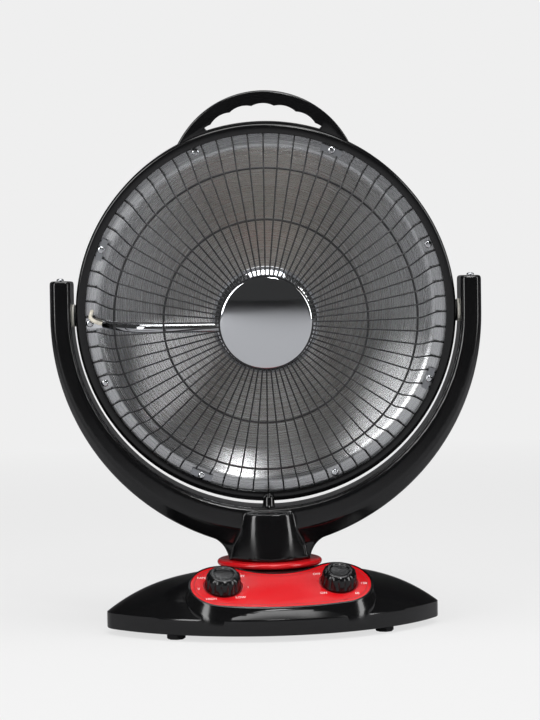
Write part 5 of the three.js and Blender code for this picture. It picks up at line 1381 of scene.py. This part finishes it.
@dataclass
class Element:
    """The polished disc and cup, the ceramic core with its coil, and the conduit that feeds it."""

    hub_front: float = -73.2
    cup_front: float = -69.4
    disc: float = 44.3
    cup: float = 51.8
    core: float = 11.0
    coil_wire: float = 0.9
    coil_turns: int = 11
    coil_pitch: float = 3.8
    coil: float = 13.2
    socket: float = 20.0
    socket_length: float = 18.0
    core_length: float = 52.0
    bore: float = 4.6
    bore_depth: float = 16.0
    stem: float = 4.0
    stem_length: float = 14.0
    crown: float = 4.5
    cup_floor: float = 30.0
    cup_depth: float = 16.0
    conduit: float = 4.9
    conduit_wall: float = 1.0
    conduit_y: float = -57.0
    conduit_z: float = -6.5
    lead: float = 1.9
    lug: float = 1.9
    flange_front: float = -8.8
    screw_circle: float = 174.6
    screws: int = 8
    rim_screw: float = 14.0
    lug_screw: float = 9.0
    # Where the undersides of the heads lie: on a guard clip, on the flange and on the lug.
    on_clip: float = -13.5
    on_flange: float = -9.1
    on_lug: float = -11.3

    def disc_and_cup(self) -> None:
        """The crowned disc in front of the guard and the cup behind it."""
        back = self.hub_front - SEAT
        edge = back - 1.4
        face = [(self.disc * t, edge - self.crown * (1 - t * t)) for t in spread(0, 0.985, 24)]
        end = back + self.stem_length
        profile = face + [(self.disc, edge + 0.35), (self.disc, back), (self.stem, back),
                          (self.stem, end), (0, end)]
        disc = turned(profile, Axis.Y, 160)
        look_of("centre_disc", disc, STAND.head(), Slot.CHROME, "head", 35).build()
        f, hole = self.cup_front, self.stem + 0.4
        deep, floor = self.cup_depth, self.cup_floor
        bowl = [(floor + (self.cup - floor) * math.sqrt(1 - (1 - t) ** 2), f + deep * t)
                for t in spread(0, 1, 16)]
        lip = [(self.cup + 0.5, f + deep + 0.6), (self.cup, f + deep + 1.2)]
        inside = [(r - 1.2, y + 0.7) for r, y in reversed(bowl)]
        profile = [(hole, f)] + bowl + lip + inside + [(hole, f + 1.3), (hole, f)]
        cup = turned(profile, Axis.Y, 128)
        look_of("front_cup", cup, STAND.head(), Slot.CHROME, "head", 40).build()

    def core_and_coil(self) -> None:
        """The ceramic core and the resistance wire wound round it."""
        front = self.cup_front + 1.6
        back = front + self.socket_length
        end = back + self.core_length
        core, wide, bore, deep = self.core, self.socket, self.bore, front + self.bore_depth
        profile = [(bore, front), (wide - 0.6, front), (wide, front + 0.6), (wide, back - 2),
                   (wide - 0.8, back - 0.6), (wide - 2, back), (core, back), (core, end - 2),
                   (core - 2, end), (0, end), (0, deep), (bore, deep), (bore, front)]
        ceramic = turned(profile, Axis.Y, 64)
        look_of("element_core", ceramic, STAND.head(), Slot.CERAMIC, "head", 35).build()
        start = back + (self.core_length - self.coil_turns * self.coil_pitch) / 2
        r, rise = self.coil, self.coil_pitch / TAU
        path = [Vector((r * math.cos(t), start + rise * t, r * math.sin(t)))
                for t in spread(0, TAU * self.coil_turns, self.coil_turns * 28)]
        coil = swept(path, self.coil_wire, 8, Vector((0, 1, 0)))
        look_of("element_coil", coil, STAND.head(), Slot.HEAT_ALLOY, "head", 60).build()

    def conduit_line(self) -> list[tuple[float, float, float]]:
        """The conduit's middle line, from its mouth to the socket."""
        y, z = self.conduit_y, self.conduit_z
        return [(-158, -20, z), (-148, -33, z), (-136, -46, z), (-120.6, y + 2.2, z), (-102.6, y, z),
                (-80, y, z), (-51.8, y, z), (-21, y, z)]

    def strap(self, x: float, y: float, half: float) -> list[Vector]:
        """The lug's upright section, level with the conduit and twice the half high."""
        z = self.conduit_z
        corners = ((y, z - half), (y + self.lug, z - half), (y + self.lug, z + half), (y, z + half))
        return [Vector((x, *corner)) for corner in corners]

    def tube(self) -> bmesh.types.BMesh:
        """The hollow conduit, open at both ends."""
        line = curved(self.conduit_line(), 6)
        pipe = swept(line, self.conduit, 24, capped=False)
        bore = swept(line, self.conduit - self.conduit_wall, 24, capped=False)
        bmesh.ops.reverse_faces(bore, faces=bore.faces[:])
        whole = gathered([pipe, bore])
        mouth = [e for e in whole.edges if e.is_boundary and e.verts[0].co.x < -100]
        bmesh.ops.bridge_loops(whole, edges=mouth)
        bmesh.ops.bridge_loops(whole, edges=[e for e in whole.edges if e.is_boundary])
        bmesh.ops.recalc_face_normals(whole, faces=whole.faces)
        return whole

    def feed(self) -> None:
        """The conduit with its lug and the sleeved lead."""
        sections = ((-178.4, -11, 5), (-165.6, -11, 5), (-151.5, -22.1, 2.5))
        lug = lofted([self.strap(*section) for section in sections])
        conduit = gathered([self.tube(), lug])
        look_of("conduit_tube", conduit, STAND.head(), Slot.CHROME, "head", 40).build()
        f, z = self.flange_front, self.conduit_z
        route = [(-184, 0, 0), (-180.4, -0.1, 0.3), (-176.6, -0.7, 2), (-173.6, -2.8, 4.3),
                 (-172.5, f + 2.6, 5), (-172.5, f - 1.8, 5), (-173, f - 4.6, 3.2),
                 (-173.6, f - 5.8, -0.5), (-169.6, f - 7.8, z + 2.9), (-163.4, f - 9.2, z + 0.7),
                 (-158.3, f - 12, z)]
        path = curved(route + self.conduit_line()[1:-1] + [(-22, self.conduit_y, z)], 6)
        sleeve = swept(path, self.lead, 12)
        look_of("element_lead", sleeve, STAND.head(), Slot.GLASS_SLEEVE, "head", 60).build()

    def fasteners(self) -> None:
        """The rim's screws, every other one on a guard clip, and the conduit's screw."""
        for k in range(self.screws):
            turn = (k + 0.5) * TAU / self.screws
            under = self.on_clip if k % 2 == 1 else self.on_flange
            x, z = self.screw_circle * math.cos(turn), self.screw_circle * math.sin(turn)
            spin = Matrix.Rotation(k * 0.7, 4, "Y")
            where = STAND.head() @ Matrix.Translation((x, under, z)) @ spin
            Screw(self.rim_screw).place(f"rim_screw_{k + 1}", where, Slot.CHROME, "head")
        where = STAND.head() @ Matrix.Translation((-self.screw_circle, self.on_lug, self.conduit_z))
        Screw(self.lug_screw).place("conduit_screw", where, Slot.CHROME, "head")

    def build(self) -> None:
        """Build everything at the head's middle, its feed and its fasteners."""
        self.disc_and_cup()
        self.core_and_coil()
        self.feed()
        self.fasteners()


# ---------------------------------------------------------------------------------------------
# The rest of the frame, the studio and the whole
# ---------------------------------------------------------------------------------------------


def dress_frame() -> None:
    """Give each CAD node that is still shown its finish from the record's slot."""
    slots = {part["node"]: part["material_slot"] for part in frame["record"]["subparts"]}
    for name, thing in frame["nodes"].items():
        thing.data.materials.clear()
        thing.data.materials.append(FINISH_OF[Slot(slots[name])].material())


@dataclass(frozen=True)
class Softbox:
    """A soft lamp: its sizes and places in metres, and its power in watts."""

    name: str
    size: tuple[float, float]
    power: float
    place: tuple[float, float, float]
    aim_height: float = 0.3

    def hang(self) -> None:
        """Hang the lamp and point it at the heater."""
        data = bpy.data.lights.new(self.name, "AREA")
        data.shape = "RECTANGLE"
        data.size, data.size_y = self.size
        data.energy = self.power
        thing = bpy.data.objects.new(self.name, data)
        thing.location = self.place
        way = Vector((0, 0, self.aim_height)) - Vector(self.place)
        thing.rotation_euler = way.to_track_quat("-Z", "Y").to_euler()
        bpy.context.scene.collection.objects.link(thing)


SOFTBOXES = (
    Softbox("left softbox", (0.6, 1.5), 20, (-1.5, -1.3, 0.9)),
    Softbox("right softbox", (0.5, 1.5), 16, (1.6, -1.1, 0.8)),
    Softbox("top softbox", (1.6, 1.2), 30, (0, -0.3, 2.0), 0.2),
    Softbox("front softbox", (0.45, 0.45), 14, (0.15, -1.9, 2.1)),
)


@dataclass
class Studio:
    """A pale sweep, soft lamps and the photograph's camera."""

    paper: str = "efefef"
    mirrored: str = "b0b0b2"
    room: float = 0.05
    half_width: float = 8.0
    near: float = -9.0
    wall_foot: float = 3.2
    bend: float = 1.6
    wall_height: float = 9.0
    # Where the paper's own light starts to rise and where it is full, along the floor.
    glow_from: float = 0.2
    glow_to: float = 2.4
    glow_least: float = 0.8
    distance: float = 2.2
    height: float = 0.343
    focal: float = 110.4
    pitch: float = 2.06
    azimuth: float = -8.0
    shift_turn: float = 0.09
    roll: float = -0.9

    def sweep(self) -> None:
        """The floor that runs up into the backdrop."""
        line = [(self.near, 0.0), (self.wall_foot, 0.0)]
        line += arc(self.wall_foot, self.bend, self.bend, -math.pi / 2, 0, 16)[1:]
        line.append((self.wall_foot + self.bend, self.wall_height))
        bm = bmesh.new()
        verts = [bm.verts.new((-self.half_width, y, z)) for y, z in line]
        edges = [bm.edges.new(pair) for pair in zip(verts, verts[1:])]
        made = bmesh.ops.extrude_edge_only(bm, edges=edges)["geom"]
        far = [g for g in made if isinstance(g, bmesh.types.BMVert)]
        bmesh.ops.translate(bm, verts=far, vec=(2 * self.half_width, 0, 0))
        bmesh.ops.recalc_face_normals(bm, faces=bm.faces)
        thing = placed("sweep", bm, Matrix.Identity(4))
        thing.data.shade_smooth()
        thing.data.materials.append(self.matt_paper())

    def matt_paper(self) -> bpy.types.Material:
        """Paper that glows to the camera alone, keeps the shadow near the heater and mirrors darker."""
        paper = bpy.data.materials.new("matt studio paper")
        paper.use_nodes = True
        tree = paper.node_tree
        tree.nodes.clear()
        ray = add_node(tree, "ShaderNodeLightPath", {}, {})
        tint = add_node(tree, "ShaderNodeMix", {"data_type": "RGBA"}, {
            "Factor": ray.outputs["Is Glossy Ray"]})
        colours = [socket for socket in tint.inputs if socket.type == "RGBA"]
        colours[0].default_value = linear(self.paper)
        colours[1].default_value = linear(self.mirrored)
        mixed = next(socket for socket in tint.outputs if socket.type == "RGBA")
        matt = add_node(tree, "ShaderNodeBsdfDiffuse", {}, {"Color": mixed})
        glow = add_node(tree, "ShaderNodeEmission", {}, {"Color": linear(self.paper), "Strength": 1.0})
        place = add_node(tree, "ShaderNodeTexCoord", {}, {}).outputs["Object"]
        parts = add_node(tree, "ShaderNodeSeparateXYZ", {}, {"Vector": place})
        even = add_node(tree, "ShaderNodeMapRange", {}, {
            "Value": parts.outputs["Y"], "From Min": self.glow_from, "From Max": self.glow_to,
            "To Min": self.glow_least, "To Max": 1.0})
        seen = add_node(tree, "ShaderNodeMath", {"operation": "MULTIPLY"}, {
            0: ray.outputs["Is Camera Ray"], 1: even.outputs["Result"]})
        mix = add_node(tree, "ShaderNodeMixShader", {}, {
            0: seen.outputs[0], 1: matt.outputs[0], 2: glow.outputs[0]})
        add_node(tree, "ShaderNodeOutputMaterial", {}, {"Surface": mix.outputs[0]})
        return paper

    def world(self) -> None:
        """A surround as pale as the paper to the camera, and a dim room to everything else."""
        world = bpy.data.worlds.new("surround")
        world.use_nodes = True
        tree = world.node_tree
        back = tree.nodes["Background"]
        back.inputs["Color"].default_value = linear(self.paper)
        ray = add_node(tree, "ShaderNodeLightPath", {}, {})
        level = add_node(tree, "ShaderNodeMapRange", {}, {
            "Value": ray.outputs["Is Camera Ray"], "To Min": self.room, "To Max": 1.0})
        tree.links.new(level.outputs["Result"], back.inputs["Strength"])
        bpy.context.scene.world = world

    def camera(self) -> None:
        """The camera at the photograph's angle, height and distance."""
        data = bpy.data.cameras.new("camera")
        data.sensor_fit = "VERTICAL"
        data.sensor_height = 36.0
        data.lens = self.focal
        thing = bpy.data.objects.new("camera", data)
        axis = STAND.yoke().to_translation()
        turn = math.radians(self.azimuth)
        thing.location = (axis.x + self.distance * math.sin(turn),
                          axis.y - self.distance * math.cos(turn), self.height)
        look = Matrix.Rotation(math.radians(self.azimuth - self.shift_turn), 4, "Z")
        look = look @ Matrix.Rotation(math.radians(90 - self.pitch), 4, "X")
        look = look @ Matrix.Rotation(math.radians(self.roll), 4, "Z")
        thing.rotation_euler = look.to_euler()
        bpy.context.scene.collection.objects.link(thing)
        bpy.context.scene.camera = thing

    def build(self) -> None:
        """Set up the sweep, the lamps and the camera."""
        bpy.context.scene.view_settings.view_transform = "Standard"
        self.sweep()
        self.world()
        for softbox in SOFTBOXES:
            softbox.hang()
        self.camera()


def main() -> None:
    """Build the heater piece by piece, then the studio."""
    logging.basicConfig(level=logging.INFO, format="%(name)s %(message)s")
    dress_frame()
    base = Base()
    base.build()
    Panel(base).build()
    Knob(-1, "heat_knob").build()
    Knob(1, "timer_knob").build()
    Yoke().build()
    rim = Rim()
    rim.build()
    Dish(rim).build()
    Guard().build()
    Element().build()
    Studio().build()


if __name__ == "__main__":
    main()
